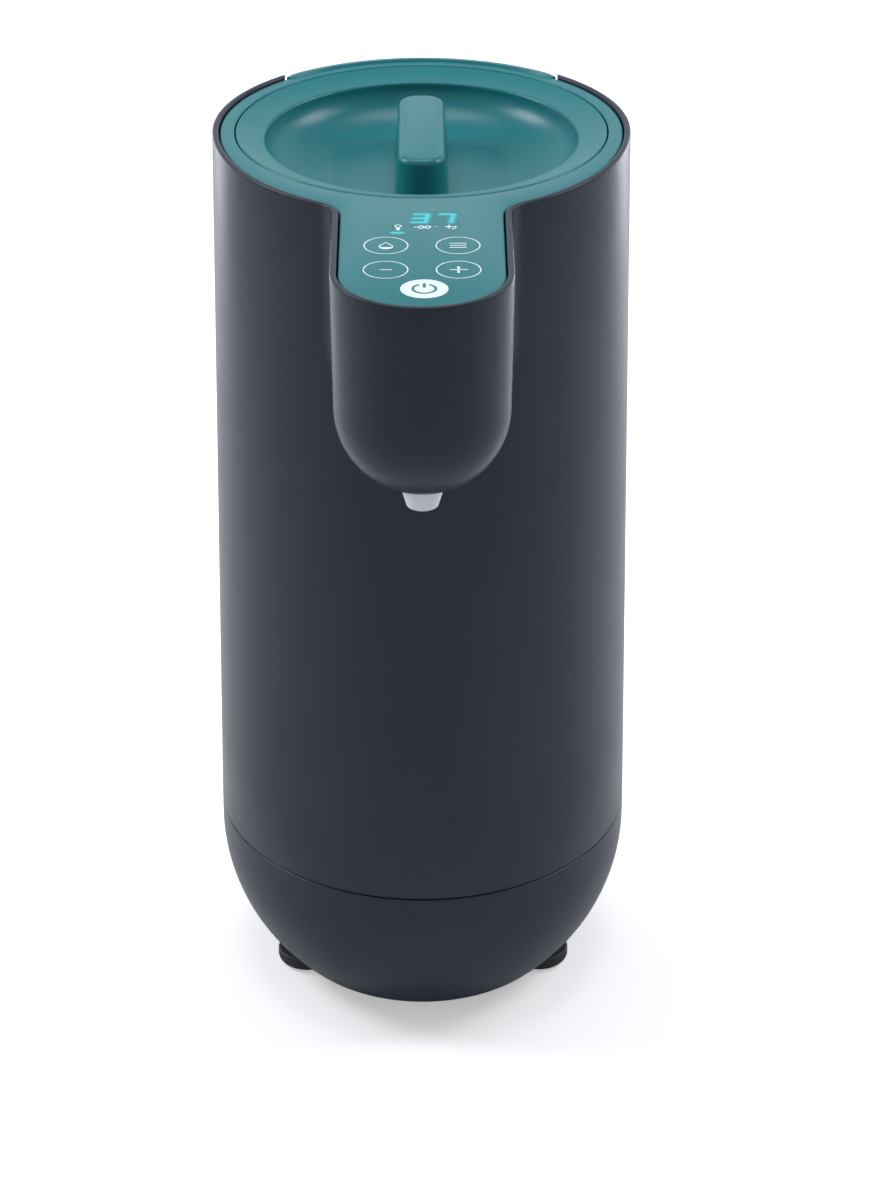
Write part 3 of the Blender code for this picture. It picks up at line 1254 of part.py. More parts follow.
def power_board():
    board = box_mesh(
        "power_board",
        (-POWER_HALF_WIDTH, -POWER_FRONT, POWER_HEIGHT),
        (POWER_HALF_WIDTH, POWER_BACK, POWER_TOP),
    )
    sheet = piece("power_board", board, "circuit_board")
    width, depth, _ = TRANSFORMER_SIZE
    x = BOARD_EDGE_GAP + width / 2 - POWER_HALF_WIDTH
    y = POWER_BACK - TRANSFORMER_BACK_GAP - depth / 2
    seated_block("transformer", TRANSFORMER_SIZE, (x, y), "black_plastic")
    width, depth, _ = RELAY_SIZE
    x = POWER_HALF_WIDTH - BOARD_EDGE_GAP - width / 2
    y = RELAY_FRONT_GAP + depth / 2 - POWER_FRONT
    seated_block("heater_relay", RELAY_SIZE, (x, y), "black_plastic")
    can = rod_mesh("capacitor", CAPACITOR_RADIUS, POWER_TOP + SEAT, POWER_TOP + SEAT + CAPACITOR_HEIGHT)
    piece("capacitor", can, "aluminium", (0, POWER_BACK - CAPACITOR_EDGE_GAP - CAPACITOR_RADIUS, 0))
    for number, (x, y) in enumerate(post_places(), 1):
        hole = screw_hole("power_hole", POWER_HEIGHT - CUT_OVERRUN, POWER_TOP + CUT_OVERRUN)
        boolean(sheet, cutter(f"power_hole_{number}", hole, (x, y, 0)))
        head_low = POWER_TOP + SEAT
        profile = [
            (0, head_low + SCREW_HEAD_HEIGHT),
            (SCREW_HEAD_RADIUS, head_low + SCREW_HEAD_HEIGHT),
            (SCREW_HEAD_RADIUS, head_low),
            (SCREW_RADIUS, head_low),
            (SCREW_RADIUS, head_low - POWER_SCREW_LENGTH),
            (0, head_low - POWER_SCREW_LENGTH),
        ]
        piece(f"power_screw_{number}", turned_mesh("power_screw", profile, SCREW_STEPS), "steel", (x, y, 0))


def harness():
    low = POWER_TOP + SEAT
    side = HARNESS_SIDE
    bend = HARNESS_BEND
    route = [
        (*HARNESS_START, low),
        (*HARNESS_START, low + bend),
        (side, -POWER_FRONT - bend, low + bend + bend),
        (side, -HARNESS_REACH + bend, low + HARNESS_RISE),
        (side, -HARNESS_REACH, PUMP_TOP),
        (side, -HARNESS_REACH, (PUMP_TOP + SPOUT_BOTTOM) / 2),
        (side, -HARNESS_REACH, SPOUT_BOTTOM),
        (side - bend / 2, -HARNESS_REACH - bend / 2, SPOUT_SPRING),
        (HARNESS_END[0], HARNESS_END[1], BOARD_UNDER - bend),
        (HARNESS_END[0], HARNESS_END[1], BOARD_UNDER - SEAT),
    ]
    tube_object("wiring_harness", smooth_path(route, HOSE_STEPS), HARNESS_RADIUS, "rubber", WIRE_SIDES)


outer_shell()
deck()
lid()
tank()
heater()
chassis()
base()
feet()
base_screws()
gland()
pump()
hoses()
nozzle()
control_board()
power_board()
harness()
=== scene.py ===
import math

import bmesh
import bpy
import numpy as np
from mathutils import Matrix, Vector


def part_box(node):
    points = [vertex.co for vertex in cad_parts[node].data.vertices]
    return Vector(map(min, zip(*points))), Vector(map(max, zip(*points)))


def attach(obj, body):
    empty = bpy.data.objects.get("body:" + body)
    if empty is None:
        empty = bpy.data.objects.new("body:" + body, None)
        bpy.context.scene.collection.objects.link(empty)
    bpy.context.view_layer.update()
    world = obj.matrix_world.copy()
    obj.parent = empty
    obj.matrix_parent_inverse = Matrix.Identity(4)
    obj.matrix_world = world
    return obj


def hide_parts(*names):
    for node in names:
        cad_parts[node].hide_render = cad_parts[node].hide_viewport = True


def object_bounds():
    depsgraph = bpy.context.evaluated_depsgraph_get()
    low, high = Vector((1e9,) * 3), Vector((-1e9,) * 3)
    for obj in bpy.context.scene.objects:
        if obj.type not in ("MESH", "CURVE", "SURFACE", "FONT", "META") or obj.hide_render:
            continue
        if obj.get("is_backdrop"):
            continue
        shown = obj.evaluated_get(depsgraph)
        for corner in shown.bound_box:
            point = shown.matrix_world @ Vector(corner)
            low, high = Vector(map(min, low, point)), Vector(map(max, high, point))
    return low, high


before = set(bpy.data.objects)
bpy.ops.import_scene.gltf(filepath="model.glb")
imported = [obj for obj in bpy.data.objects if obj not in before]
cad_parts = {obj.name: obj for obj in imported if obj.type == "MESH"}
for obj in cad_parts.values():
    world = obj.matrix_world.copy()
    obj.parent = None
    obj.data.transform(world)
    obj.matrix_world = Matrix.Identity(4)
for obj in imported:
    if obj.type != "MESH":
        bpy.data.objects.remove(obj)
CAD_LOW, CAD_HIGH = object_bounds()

# Camera: a long lens in front of the machine, looking down on it as one does on a kitchen counter.
# The body's own upright axis runs through the middle of the tank, and everything is aimed by it.

MM = 0.001
TANK_LOW, TANK_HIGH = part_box("tank")
AXIS_Y = (TANK_LOW.y + TANK_HIGH.y) / 2
BODY_HEIGHT = CAD_HIGH.z

CAMERA_SIDE = -1.2 * MM
CAMERA_BACK = 1266.4 * MM
CAMERA_RISE = 476.4 * MM
CAMERA_PITCH = math.radians(63.14)
CAMERA_TURN = math.radians(-0.294)
CAMERA_LENS = 129.78
SENSOR = 36.0


def placed(name, data):
    """A new object in the scene that shows a mesh, a lamp or a camera."""
    made = bpy.data.objects.new(name, data)
    bpy.context.scene.collection.objects.link(made)
    return made


camera_data = bpy.data.cameras.new("camera")
camera_data.lens = CAMERA_LENS
camera_data.sensor_width = SENSOR
camera_data.clip_end = 20.0
camera = placed("camera", camera_data)
camera.location = (CAMERA_SIDE, AXIS_Y - CAMERA_BACK, BODY_HEIGHT + CAMERA_RISE)
camera.rotation_euler = (CAMERA_PITCH, 0.0, CAMERA_TURN)
bpy.context.scene.camera = camera
bpy.context.scene.view_settings.view_transform = "Standard"


# Studio: a pale floor in a white room, with a soft box high at either side, one overhead for the lid
# and a weak one in front. A low strip behind either side draws the body's long upright edges.
# A mirror finds the wall behind brightest: the ceiling and the side walls are darker in it.

FLOOR_HALF = 3000.0 * MM
ROOM_LIGHT = 0.26
ROOM_MIRROR = 0.9
CEILING_MIRROR = 0.1
CEILING_FROM, CEILING_TO = 0.35, 0.75
SIDE_SHARE = 0.3
SIDE_FROM, SIDE_TO = 0.1, 0.7
FLOOR_LIFT = 0.42
LIFT_START = 500.0 * MM
LIFT_END = 1500.0 * MM


def linear(code):
    """An sRGB hex colour as the linear red, green, blue and alpha that Blender mixes."""
    channels = [int(code[i : i + 2], 16) / 255 for i in (1, 3, 5)]
    return (*(c / 12.92 if c <= 0.04045 else ((c + 0.055) / 1.055) ** 2.4 for c in channels), 1.0)


def add_node(tree, kind, links=(), values=(), **settings):
    """A node of one kind with its settings, the values typed into it and the sockets that feed it."""
    made = tree.nodes.new(kind)
    for key, value in settings.items():
        setattr(made, key, value)
    for socket, value in dict(values).items():
        made.inputs[socket].default_value = value
    for socket, source in dict(links).items():
        tree.links.new(source, made.inputs[socket])
    return made


def seen_rays(tree):
    """Two marks: one for rays that the camera sees, also through glass, and one for mirrored rays."""
    path = add_node(tree, "ShaderNodeLightPath")
    both = add_node(
        tree,
        "ShaderNodeMath",
        {0: path.outputs["Is Camera Ray"], 1: path.outputs["Is Transmission Ray"]},
        operation="MAXIMUM",
    )
    return both.outputs[0], path.outputs["Is Glossy Ray"]


world = bpy.data.worlds.new("white_room")
world.use_nodes = True
bpy.context.scene.world = world
room = world.node_tree
seen, glossy = seen_rays(room)
way = add_node(room, "ShaderNodeTexCoord").outputs["Generated"]
facing = add_node(room, "ShaderNodeSeparateXYZ", {"Vector": way})
overhead = add_node(
    room,
    "ShaderNodeMapRange",
    {"Value": facing.outputs["Z"]},
    {"From Min": CEILING_FROM, "From Max": CEILING_TO, "To Min": ROOM_MIRROR, "To Max": CEILING_MIRROR},
    interpolation_type="SMOOTHSTEP",
)
behind = add_node(
    room,
    "ShaderNodeMapRange",
    {"Value": facing.outputs["Y"]},
    {"From Min": SIDE_FROM, "From Max": SIDE_TO, "To Min": SIDE_SHARE, "To Max": 1.0},
    interpolation_type="SMOOTHSTEP",
)
mirrored = add_node(
    room, "ShaderNodeMath", {0: overhead.outputs[0], 1: behind.outputs[0]}, operation="MULTIPLY"
)
reach = add_node(room, "ShaderNodeMath", {0: glossy, 1: mirrored.outputs[0]}, operation="MULTIPLY")
white = add_node(room, "ShaderNodeMath", {0: seen, 1: reach.outputs[0]}, operation="MAXIMUM")
strength = add_node(
    room, "ShaderNodeMapRange", {"Value": white.outputs[0]}, {"To Min": ROOM_LIGHT, "To Max": 1.0}
)
room.links.new(strength.outputs[0], room.nodes["Background"].inputs["Strength"])
room.nodes["Background"].inputs["Color"].default_value = linear("#ffffff")

floor_paint = bpy.data.materials.new("matt_white_table")
floor_paint.use_nodes = True
paint = floor_paint.node_tree
seen, _ = seen_rays(paint)
paint_shader = paint.nodes["Principled BSDF"]
paint_shader.inputs["Base Color"].default_value = linear("#f2f3f4")
paint_shader.inputs["Roughness"].default_value = 0.9
paint_shader.inputs["Specular IOR Level"].default_value = 0.2
paint_shader.inputs["Emission Color"].default_value = linear("#ffffff")
spot = add_node(paint, "ShaderNodeTexCoord").outputs["Object"]
away = add_node(paint, "ShaderNodeVectorMath", {0: spot}, operation="LENGTH").outputs["Value"]
glow = add_node(
    paint,
    "ShaderNodeMapRange",
    {"Value": away},
    {"From Min": LIFT_START, "From Max": LIFT_END, "To Min": FLOOR_LIFT, "To Max": 1.0},
)
lift = add_node(paint, "ShaderNodeMath", {0: seen, 1: glow.outputs[0]}, operation="MULTIPLY")
paint.links.new(lift.outputs[0], paint_shader.inputs["Emission Strength"])

floor_shape = bmesh.new()
bmesh.ops.create_grid(floor_shape, x_segments=1, y_segments=1, size=FLOOR_HALF)
floor_mesh = bpy.data.meshes.new("floor")
floor_shape.to_mesh(floor_mesh)
floor_shape.free()
floor_mesh.materials.append(floor_paint)
placed("floor", floor_mesh)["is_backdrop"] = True

SOFT_BOXES = {
    "left_box": ((-840 * MM, 180 * MM, 830 * MM), (400 * MM, 400 * MM), 6.0),
    "right_box": ((840 * MM, 180 * MM, 830 * MM), (400 * MM, 400 * MM), 4.6),
    "top_box": ((0.0, 160 * MM, 1350 * MM), (900 * MM, 500 * MM), 6.5),
    "left_strip": ((-420 * MM, 600 * MM, 150 * MM), (160 * MM, 280 * MM), 0.7),
    "right_strip": ((420 * MM, 600 * MM, 150 * MM), (160 * MM, 280 * MM), 0.9),
    "front_box": ((0.0, -1500 * MM, 900 * MM), (700 * MM, 500 * MM), 0.8),
}
for name, (spot, size, watts) in SOFT_BOXES.items():
    lamp_data = bpy.data.lights.new(name, "AREA")
    lamp_data.shape = "RECTANGLE"
    lamp_data.size, lamp_data.size_y = size
    lamp_data.energy = watts
    lamp_data.color = linear("#f6f9ff")[:3]
    lamp = placed(name, lamp_data)
    lamp.location = spot
    aim = Vector((0.0, AXIS_Y, BODY_HEIGHT / 2)) - Vector(spot)
    lamp.rotation_euler = aim.to_track_quat("-Z", "Y").to_euler()


# Outer shell: one dark moulding of ABS, body and spout together, open at the top and at the seam.
# Its mould is finely spark-textured, so it looks satin, with soft long highlights and no mirror.

BODY_HALF_WIDTH = 65.0 * MM
BODY_BACK_REACH = 65.0 * MM
BODY_FRONT_REACH = 72.8 * MM
BODY_DRAFT = 1.9 * MM
SEAM_HEIGHT = 55.3 * MM
SEAM_GAP = 0.4 * MM
SEAM_ROUND = 0.3 * MM
SHELL_WALL = 2.0 * MM
RIM_ROUND = 0.7 * MM
SPOUT_HALF_WIDTH = 26.0 * MM
SPOUT_DRAFT = 0.7 * MM
SPOUT_REACH = 117.4 * MM
SPOUT_SPRING = BODY_HEIGHT - 42.0 * MM
SPOUT_BOTTOM = SPOUT_SPRING - SPOUT_HALF_WIDTH
SPOUT_FILLET = 9.0 * MM
NOTCH_HALF_WIDTH = 43.7 * MM
NOTCH_DEPTH = 9.0 * MM
NOZZLE_RADIUS = 6.5 * MM
FIT_GAP = 0.3 * MM
RIM_LEAD = 1.0 * MM
SEAM_SOFT = 0.3 * SEAM_ROUND
CUT_OVERRUN = 4.0 * MM

WELD = 0.002 * MM
SLIVER = 0.001 * MM
SLIVER_AREA = 1e-14
SHARP_ANGLE = math.radians(35.0)
HALVINGS = 40
BACK_STEPS = 72
FILLET_STEPS = 12
SIDE_STEPS = 5
TIP_STEPS = 28
DOME_STEPS = 26
WALL_ROWS = 4
SKIRT_ROWS = 6
TURN_STEPS = 128
SMALL_STEPS = 64
HOLE_STEPS = 32
ROUND_STEPS = 4


def oval(turn, height, inset):
    """A point of the body's plan and the way out there. turn is 0 at the front and pi at the back."""
    grown = BODY_DRAFT * (BODY_HEIGHT - height) / (BODY_HEIGHT - SEAM_HEIGHT) - inset
    wide = BODY_HALF_WIDTH + grown
    reach = (BODY_FRONT_REACH if math.cos(turn) > 0 else BODY_BACK_REACH) + grown
    out = Vector((reach * math.sin(turn), -wide * math.cos(turn), 0.0)).normalized()
    return Vector((wide * math.sin(turn), -reach * math.cos(turn), height)), out


def shell_row(inset, lean, height=None):
    """Half a row of the shell, from the back's middle round to the spout's tip.

    lean is 0 on the spout's upright sides and a quarter turn along its keel. A ball as large as the
    fillet rolls along the corner between spout and body and leaves the row's concave stretch.
    """
    fillet = SPOUT_FILLET + inset
    half = SPOUT_HALF_WIDTH - inset
    if height is not None:
        half += SPOUT_DRAFT * (height - SPOUT_SPRING) / (BODY_HEIGHT - SPOUT_SPRING)
    drop = Vector((math.cos(lean), 0.0, -math.sin(lean)))
    level = SPOUT_SPRING if height is None else height
    ball = (half + fillet) * drop + Vector((0.0, 0.0, level))
    low, high = 0.0, math.pi / 2
    for _ in range(HALVINGS):
        middle = (low + high) / 2
        point, out = oval(middle, ball.z, inset)
        if point.x + fillet * out.x < ball.x:
            low = middle
        else:
            high = middle
    start = (low + high) / 2
    point, out = oval(start, ball.z, inset)
    ball.y = point.y + fillet * out.y
    turns = [math.pi + (start - math.pi) * i / BACK_STEPS for i in range(BACK_STEPS + 1)]
    row = [oval(turn, ball.z, inset)[0] for turn in turns]
    opening = (-out).angle(-drop)
    for i in range(1, FILLET_STEPS + 1):
        share = i / FILLET_STEPS
        way = math.sin((1 - share) * opening) * -out + math.sin(share * opening) * -drop
        row.append(ball + fillet * way / math.sin(opening))
    side = half * drop + Vector((0.0, 0.0, level))
    for i in range(1, SIDE_STEPS + 1):
        share = i / SIDE_STEPS
        row.append(Vector((side.x, ball.y + (-SPOUT_REACH - ball.y) * share, side.z)))
    for i in range(1, TIP_STEPS + 1):
        swing = math.pi / 2 * i / TIP_STEPS
        row.append(Vector((side.x * math.cos(swing), -SPOUT_REACH - side.x * math.sin(swing), side.z)))
    return row


def body_row(inset, height):
    """Half a row of the plain body below the spout."""
    return [oval(math.pi - math.pi * i / BACK_STEPS, height, inset)[0] for i in range(BACK_STEPS + 1)]


def skin_of(shape, rows):
    """Faces between half rows that run from the top down, and their mirror images."""
    for side in (1, -1):
        corners = [[shape.verts.new((side * p.x, p.y, p.z)) for p in row] for row in rows]
        for upper, lower in zip(corners, corners[1:]):
            for i in range(len(upper) - 1):
                loop = (upper[i], upper[i + 1], lower[i + 1], lower[i])
                shape.faces.new(loop if side > 0 else tuple(reversed(loop)))


def bridged(shape, rings):
    """Faces between rings that have as many points each."""
    for ring, after in zip(rings, rings[1:]):
        for i in range(len(ring)):
            j = (i + 1) % len(ring)
            shape.faces.new((ring[i], ring[j], after[j], after[i]))


def smoothed(mesh):
    """Shades a mesh round, with a sharp edge where its faces meet at more than the sharp angle."""
    mesh.shade_smooth()
    mesh.set_sharp_from_angle(angle=SHARP_ANGLE)
    return mesh


def finished(shape, name):
    """A closed mesh from a bmesh, moved from the body's axis to its place in the frame."""
    bmesh.ops.remove_doubles(shape, verts=shape.verts, dist=WELD)
    bmesh.ops.dissolve_degenerate(shape, edges=shape.edges, dist=SLIVER)
    bmesh.ops.recalc_face_normals(shape, faces=shape.faces)
    bmesh.ops.translate(shape, verts=shape.verts, vec=(0.0, AXIS_Y, 0.0))
    mesh = bpy.data.meshes.new(name)
    shape.to_mesh(mesh)
    shape.free()
    return smoothed(mesh)


def dressed(name, mesh, material, body, slot, *stands_for):
    """Puts a finished mesh in the scene as a piece that rides on a body in place of its CAD nodes."""
    made = placed(name, mesh)
    if material not in list(mesh.materials):
        mesh.materials.append(material)
    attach(made, body)
    if stands_for:
        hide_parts(*stands_for)
    return made


def settled(piece, step):
    """The plain mesh that a piece's modifier makes. The modifier is then gone."""
    bpy.context.view_layer.update()
    made = bpy.data.meshes.new_from_object(piece.evaluated_get(bpy.context.evaluated_depsgraph_get()))
    piece.modifiers.remove(step)
    return smoothed(made)


def cut(piece, tool_mesh, operation="DIFFERENCE"):
    """Cuts a piece with a closed mesh, or joins it on, and keeps the result as a plain mesh."""
    tool = placed("tool", tool_mesh)
    step = piece.modifiers.new("cut", "BOOLEAN")
    step.operation = operation
    step.solver = "EXACT"
    step.object = tool
    made = settled(piece, step)
    old = piece.data
    made.name = old.name
    piece.data = made
    bpy.data.meshes.remove(old)
    bpy.data.objects.remove(tool, do_unlink=True)


def turned(profile, name, place=(0.0, 0.0, 0.0), steps=TURN_STEPS, tilt=None):
    """A closed (radius, height) profile turned once about an upright axis at a place."""
    shape = bmesh.new()
    angles = [math.tau * i / steps for i in range(steps)]
    rings = []
    for radius, height in profile:
        rings.append([shape.verts.new((radius * math.cos(a), radius * math.sin(a), height)) for a in angles])
    bridged(shape, rings + rings[:1])
    bmesh.ops.remove_doubles(shape, verts=shape.verts, dist=WELD)
    loose = [face for face in shape.faces if face.calc_area() < SLIVER_AREA]
    bmesh.ops.delete(shape, geom=loose, context="FACES_ONLY")
    if tilt:
        bmesh.ops.rotate(shape, verts=shape.verts, matrix=Matrix.Rotation(tilt, 3, "X"))
    bmesh.ops.translate(shape, verts=shape.verts, vec=place)
    return finished(shape, name)


def rounding(corner, radius, start, end, steps=ROUND_STEPS):
    """Points of a rounded corner of a profile, as (radius, height) pairs."""
    turns = [math.radians(start + (end - start) * i / steps) for i in range(steps + 1)]
    return [(corner[0] + radius * math.cos(t), corner[1] + radius * math.sin(t)) for t in turns]


FLOW_PATCH = 45.0 * MM
TOUCH_PATCH = 18.0 * MM
TOUCH_DRIFT = 0.04


def moulded(name, colour, drift, roughness, texture, depth, ior=1.5, gloss=0.5):
    """Injection-moulded plastic: its colour drifts a little with the flow, and its mould was textured.

    texture is the size of one pit of the mould and depth is how deep the pits look. Real pits are about
    0.05 mm, too fine to show, so texture is drawn as coarse as it needs to be seen.
    """
    material = bpy.data.materials.new(name)
    material.use_nodes = True
    tree = material.node_tree
    shader = tree.nodes["Principled BSDF"]
    shader.inputs["IOR"].default_value = ior
    shader.inputs["Specular IOR Level"].default_value = gloss
    where = add_node(tree, "ShaderNodeTexCoord").outputs["Object"]
    flow = add_node(tree, "ShaderNodeTexNoise", {"Vector": where}, {"Scale": 1 / FLOW_PATCH, "Detail": 2.0})
    tone = add_node(tree, "ShaderNodeValToRGB", {"Fac": flow.outputs[0]})
    tone.color_ramp.elements[0].position = 0.3
    tone.color_ramp.elements[0].color = linear(drift)
    tone.color_ramp.elements[1].position = 0.7
    tone.color_ramp.elements[1].color = linear(colour)
    tree.links.new(tone.outputs[0], shader.inputs["Base Color"])
    pits = add_node(tree, "ShaderNodeTexNoise", {"Vector": where}, {"Scale": 1 / texture, "Detail": 3.0})
    handled = add_node(
        tree, "ShaderNodeTexNoise", {"Vector": where}, {"Scale": 1 / TOUCH_PATCH, "Detail": 4.0}
    )
    polish = add_node(
        tree,
        "ShaderNodeMapRange",
        {"Value": handled.outputs[0]},
        {"To Min": roughness - TOUCH_DRIFT, "To Max": roughness + TOUCH_DRIFT},
    )
    tree.links.new(polish.outputs[0], shader.inputs["Roughness"])
    bump = add_node(tree, "ShaderNodeBump", {"Height": pits.outputs[0]}, {"Strength": 0.5, "Distance": depth})
    tree.links.new(bump.outputs[0], shader.inputs["Normal"])
    return material


SLATE_ABS = moulded("spark_textured_slate_abs", "#303743", "#2d343f", 0.34, 0.35 * MM, 0.010 * MM, gloss=0.2)

leans = [math.pi / 2 * i / DOME_STEPS for i in range(DOME_STEPS + 1)]
rim_edge = rounding((RIM_ROUND, -RIM_ROUND), RIM_ROUND, 180, 90)
rim_edge += rounding((SHELL_WALL - RIM_ROUND, -RIM_ROUND), RIM_ROUND, 90, 0)
wall_height = BODY_HEIGHT - SPOUT_SPRING - RIM_LEAD
wall_levels = [SPOUT_SPRING + wall_height * i / WALL_ROWS for i in range(1, WALL_ROWS + 1)]
upper = [shell_row(0.0, lean) for lean in reversed(leans)]
upper += [shell_row(0.0, 0.0, level) for level in wall_levels]
upper += [shell_row(inset, 0.0, BODY_HEIGHT + rise) for inset, rise in rim_edge]
upper += [shell_row(SHELL_WALL, 0.0, level) for level in reversed(wall_levels)]
upper += [shell_row(SHELL_WALL, lean) for lean in leans]

keel = SPOUT_SPRING - SPOUT_HALF_WIDTH - SPOUT_FILLET
seam = SEAM_HEIGHT + SEAM_GAP / 2
skirt_low = seam + SEAM_ROUND
seam_edge = [(SHELL_WALL, seam), (SEAM_ROUND, seam), (SEAM_SOFT, seam + SEAM_SOFT), (0.0, skirt_low)]
walls = [body_row(SHELL_WALL, keel + (seam - keel) * i / SKIRT_ROWS) for i in range(SKIRT_ROWS)]
walls += [body_row(inset, height) for inset, height in seam_edge]
walls += [body_row(0.0, skirt_low + (keel - skirt_low) * i / SKIRT_ROWS) for i in range(1, SKIRT_ROWS + 1)]

shell_shape = bmesh.new()
skin_of(shell_shape, upper)
skin_of(shell_shape, walls)
shell_mesh = finished(shell_shape, "outer_shell_skin")
shell = dressed("outer_shell_skin", shell_mesh, SLATE_ABS, "housing", "dark_plastic", "outer_shell")
hole_radius = NOZZLE_RADIUS + FIT_GAP
hole_low = SPOUT_BOTTOM - CUT_OVERRUN
hole = [(hole_radius, hole_low), (hole_radius, SPOUT_SPRING), (0.0, SPOUT_SPRING), (0.0, hole_low)]
cut(shell, turned(hole, "nozzle_hole", (0.0, -SPOUT_REACH, 0.0), SMALL_STEPS))
notch = bmesh.new()
bmesh.ops.create_cube(notch, size=2.0)
notch_size = Vector((NOTCH_HALF_WIDTH, BODY_BACK_REACH / 2, NOTCH_DEPTH))
bmesh.ops.scale(notch, verts=notch.verts, vec=notch_size)
bmesh.ops.translate(notch, verts=notch.verts, vec=(0.0, BODY_BACK_REACH, BODY_HEIGHT))
cut(shell, finished(notch, "rim_notch"))


# Base cover: a rounded tub of the same ABS that closes the body from below and holds the boards.
# It has slots that let warm air out, and four deep wells for its screws.

BASE_ROUNDING = 60.0 * MM
BASE_ROUND_START = 49.0 * MM
BASE_CLEARANCE = 4.5 * MM
BASE_WALL = 2.2 * MM
VENT_LENGTH = 16.0 * MM
VENT_WIDTH = 2.0 * MM
VENT_PITCH = 5.0 * MM
VENT_COUNT = 5
VENT_REACH = 3 * BASE_CLEARANCE
SCREW_SIDE = 34.0 * MM
SCREW_REACH = 38.0 * MM
WELL_RADIUS = 3.0 * MM
WELL_DEPTH = 17.0 * MM
GLAND_HEIGHT = 34.0 * MM
GLAND_FLANGE_RADIUS = 8.4 * MM
GLAND_SEAT = 63.0 * MM
ROUNDING_ROWS = 24


def base_row(height, wall=0.0):
    """Half a row of the base at a height, drawn in by its big rounding and by the wall."""
    drop = max(BASE_ROUND_START - height, 0.0)
    inset = BASE_ROUNDING - math.sqrt(BASE_ROUNDING**2 - drop**2) + wall
    return [Vector((p.x, p.y, height)) for p in body_row(inset, SEAM_HEIGHT)]


def slot_outline(length, width, steps=8):
    """A flat slot with round ends, along Y, as (x, y) pairs."""
    half = (length - width) / 2
    front = rounding((0.0, -half), width / 2, 180, 360, steps)
    return front + rounding((0.0, half), width / 2, 0, 180, steps)


def prism(outline, low, high, name, place=(0.0, 0.0)):
    """A flat outline raised between two heights, as a closed mesh."""
    shape = bmesh.new()
    bottom = [shape.verts.new((x + place[0], y + place[1], low)) for x, y in outline]
    face = shape.faces.new(bottom)
    lifted = bmesh.ops.extrude_face_region(shape, geom=[face])["geom"]
    raised = [v for v in lifted if isinstance(v, bmesh.types.BMVert)]
    bmesh.ops.translate(shape, verts=raised, vec=(0.0, 0.0, high - low))
    return finished(shape, name)


top_edge = SEAM_HEIGHT - SEAM_GAP / 2
last_turn = math.asin((BASE_ROUND_START - BASE_CLEARANCE) / BASE_ROUNDING)
turns = [last_turn * i / ROUNDING_ROWS for i in range(ROUNDING_ROWS + 1)]
heights = [BASE_ROUND_START - BASE_ROUNDING * math.sin(turn) for turn in turns]
outside = [base_row(top_edge, SEAM_ROUND), base_row(top_edge - SEAM_ROUND), *(base_row(h) for h in heights)]
inside = [base_row(top_edge, BASE_WALL)] + [base_row(h, BASE_WALL) for h in heights[:-2]]
base_shape = bmesh.new()
skin_of(base_shape, [*reversed(inside), *outside])
for row, height in ((outside[-1], BASE_CLEARANCE), (inside[-1], inside[-1][0].z)):
    loop = row + [Vector((-p.x, p.y, p.z)) for p in reversed(row[1:-1])]
    base_shape.faces.new([base_shape.verts.new((p.x, p.y, height)) for p in loop])
base_mesh = finished(base_shape, "base_cover_skin")
base = dressed("base_cover_skin", base_mesh, SLATE_ABS, "housing", "dark_plastic", "base_cover")
tools = bmesh.new()
for number in range(VENT_COUNT):
    x = VENT_PITCH * (number - (VENT_COUNT - 1) / 2)
    tools.from_mesh(prism(slot_outline(VENT_LENGTH, VENT_WIDTH), 0.0, VENT_REACH, "vent", (x, 0.0)))
well = [(WELL_RADIUS, 0.0), (WELL_RADIUS, WELL_DEPTH), (0.0, WELL_DEPTH), (0.0, 0.0)]
for x in (-SCREW_SIDE, SCREW_SIDE):
    for y in (-SCREW_REACH, SCREW_REACH):
        tools.from_mesh(turned(well, "well", (x, y, 0.0), HOLE_STEPS))
socket_radius = GLAND_FLANGE_RADIUS + FIT_GAP
socket_back = BODY_BACK_REACH + CUT_OVERRUN
socket = [(socket_radius, GLAND_SEAT), (socket_radius, socket_back), (0.0, socket_back), (0.0, GLAND_SEAT)]
tools.from_mesh(turned(socket, "gland_socket", (0.0, 0.0, GLAND_HEIGHT), SMALL_STEPS, tilt=-math.pi / 2))
bmesh.ops.translate(tools, verts=tools.verts, vec=(0.0, -AXIS_Y, 0.0))
cut(base, finished(tools, "base_holes"))


# Feet: four dark rubber pads pressed into pockets of the base. Rubber is matt, and its edge is soft.

RUBBER = moulded("moulded_black_rubber", "#25282f", "#1f2228", 0.62, 0.5 * MM, 0.02 * MM)

FOOT_RADIUS = 9.8 * MM
FOOT_ROUND = 3.0 * MM
FOOT_TOP = 5.3 * MM
FOOT_EDGE = 0.4 * MM
FOOT_DISH = 0.6 * MM
FOOT_LAND_RADIUS = 0.55 * FOOT_RADIUS
FOOT_DISH_RADIUS = 0.5 * FOOT_RADIUS
FOOT_PLACES = {
    "foot_front_left": (-38.8 * MM, -20.0 * MM),
    "foot_front_right": (38.8 * MM, -20.0 * MM),
    "foot_rear_left": (-38.8 * MM, 24.0 * MM),
    "foot_rear_right": (38.8 * MM, 24.0 * MM),
}


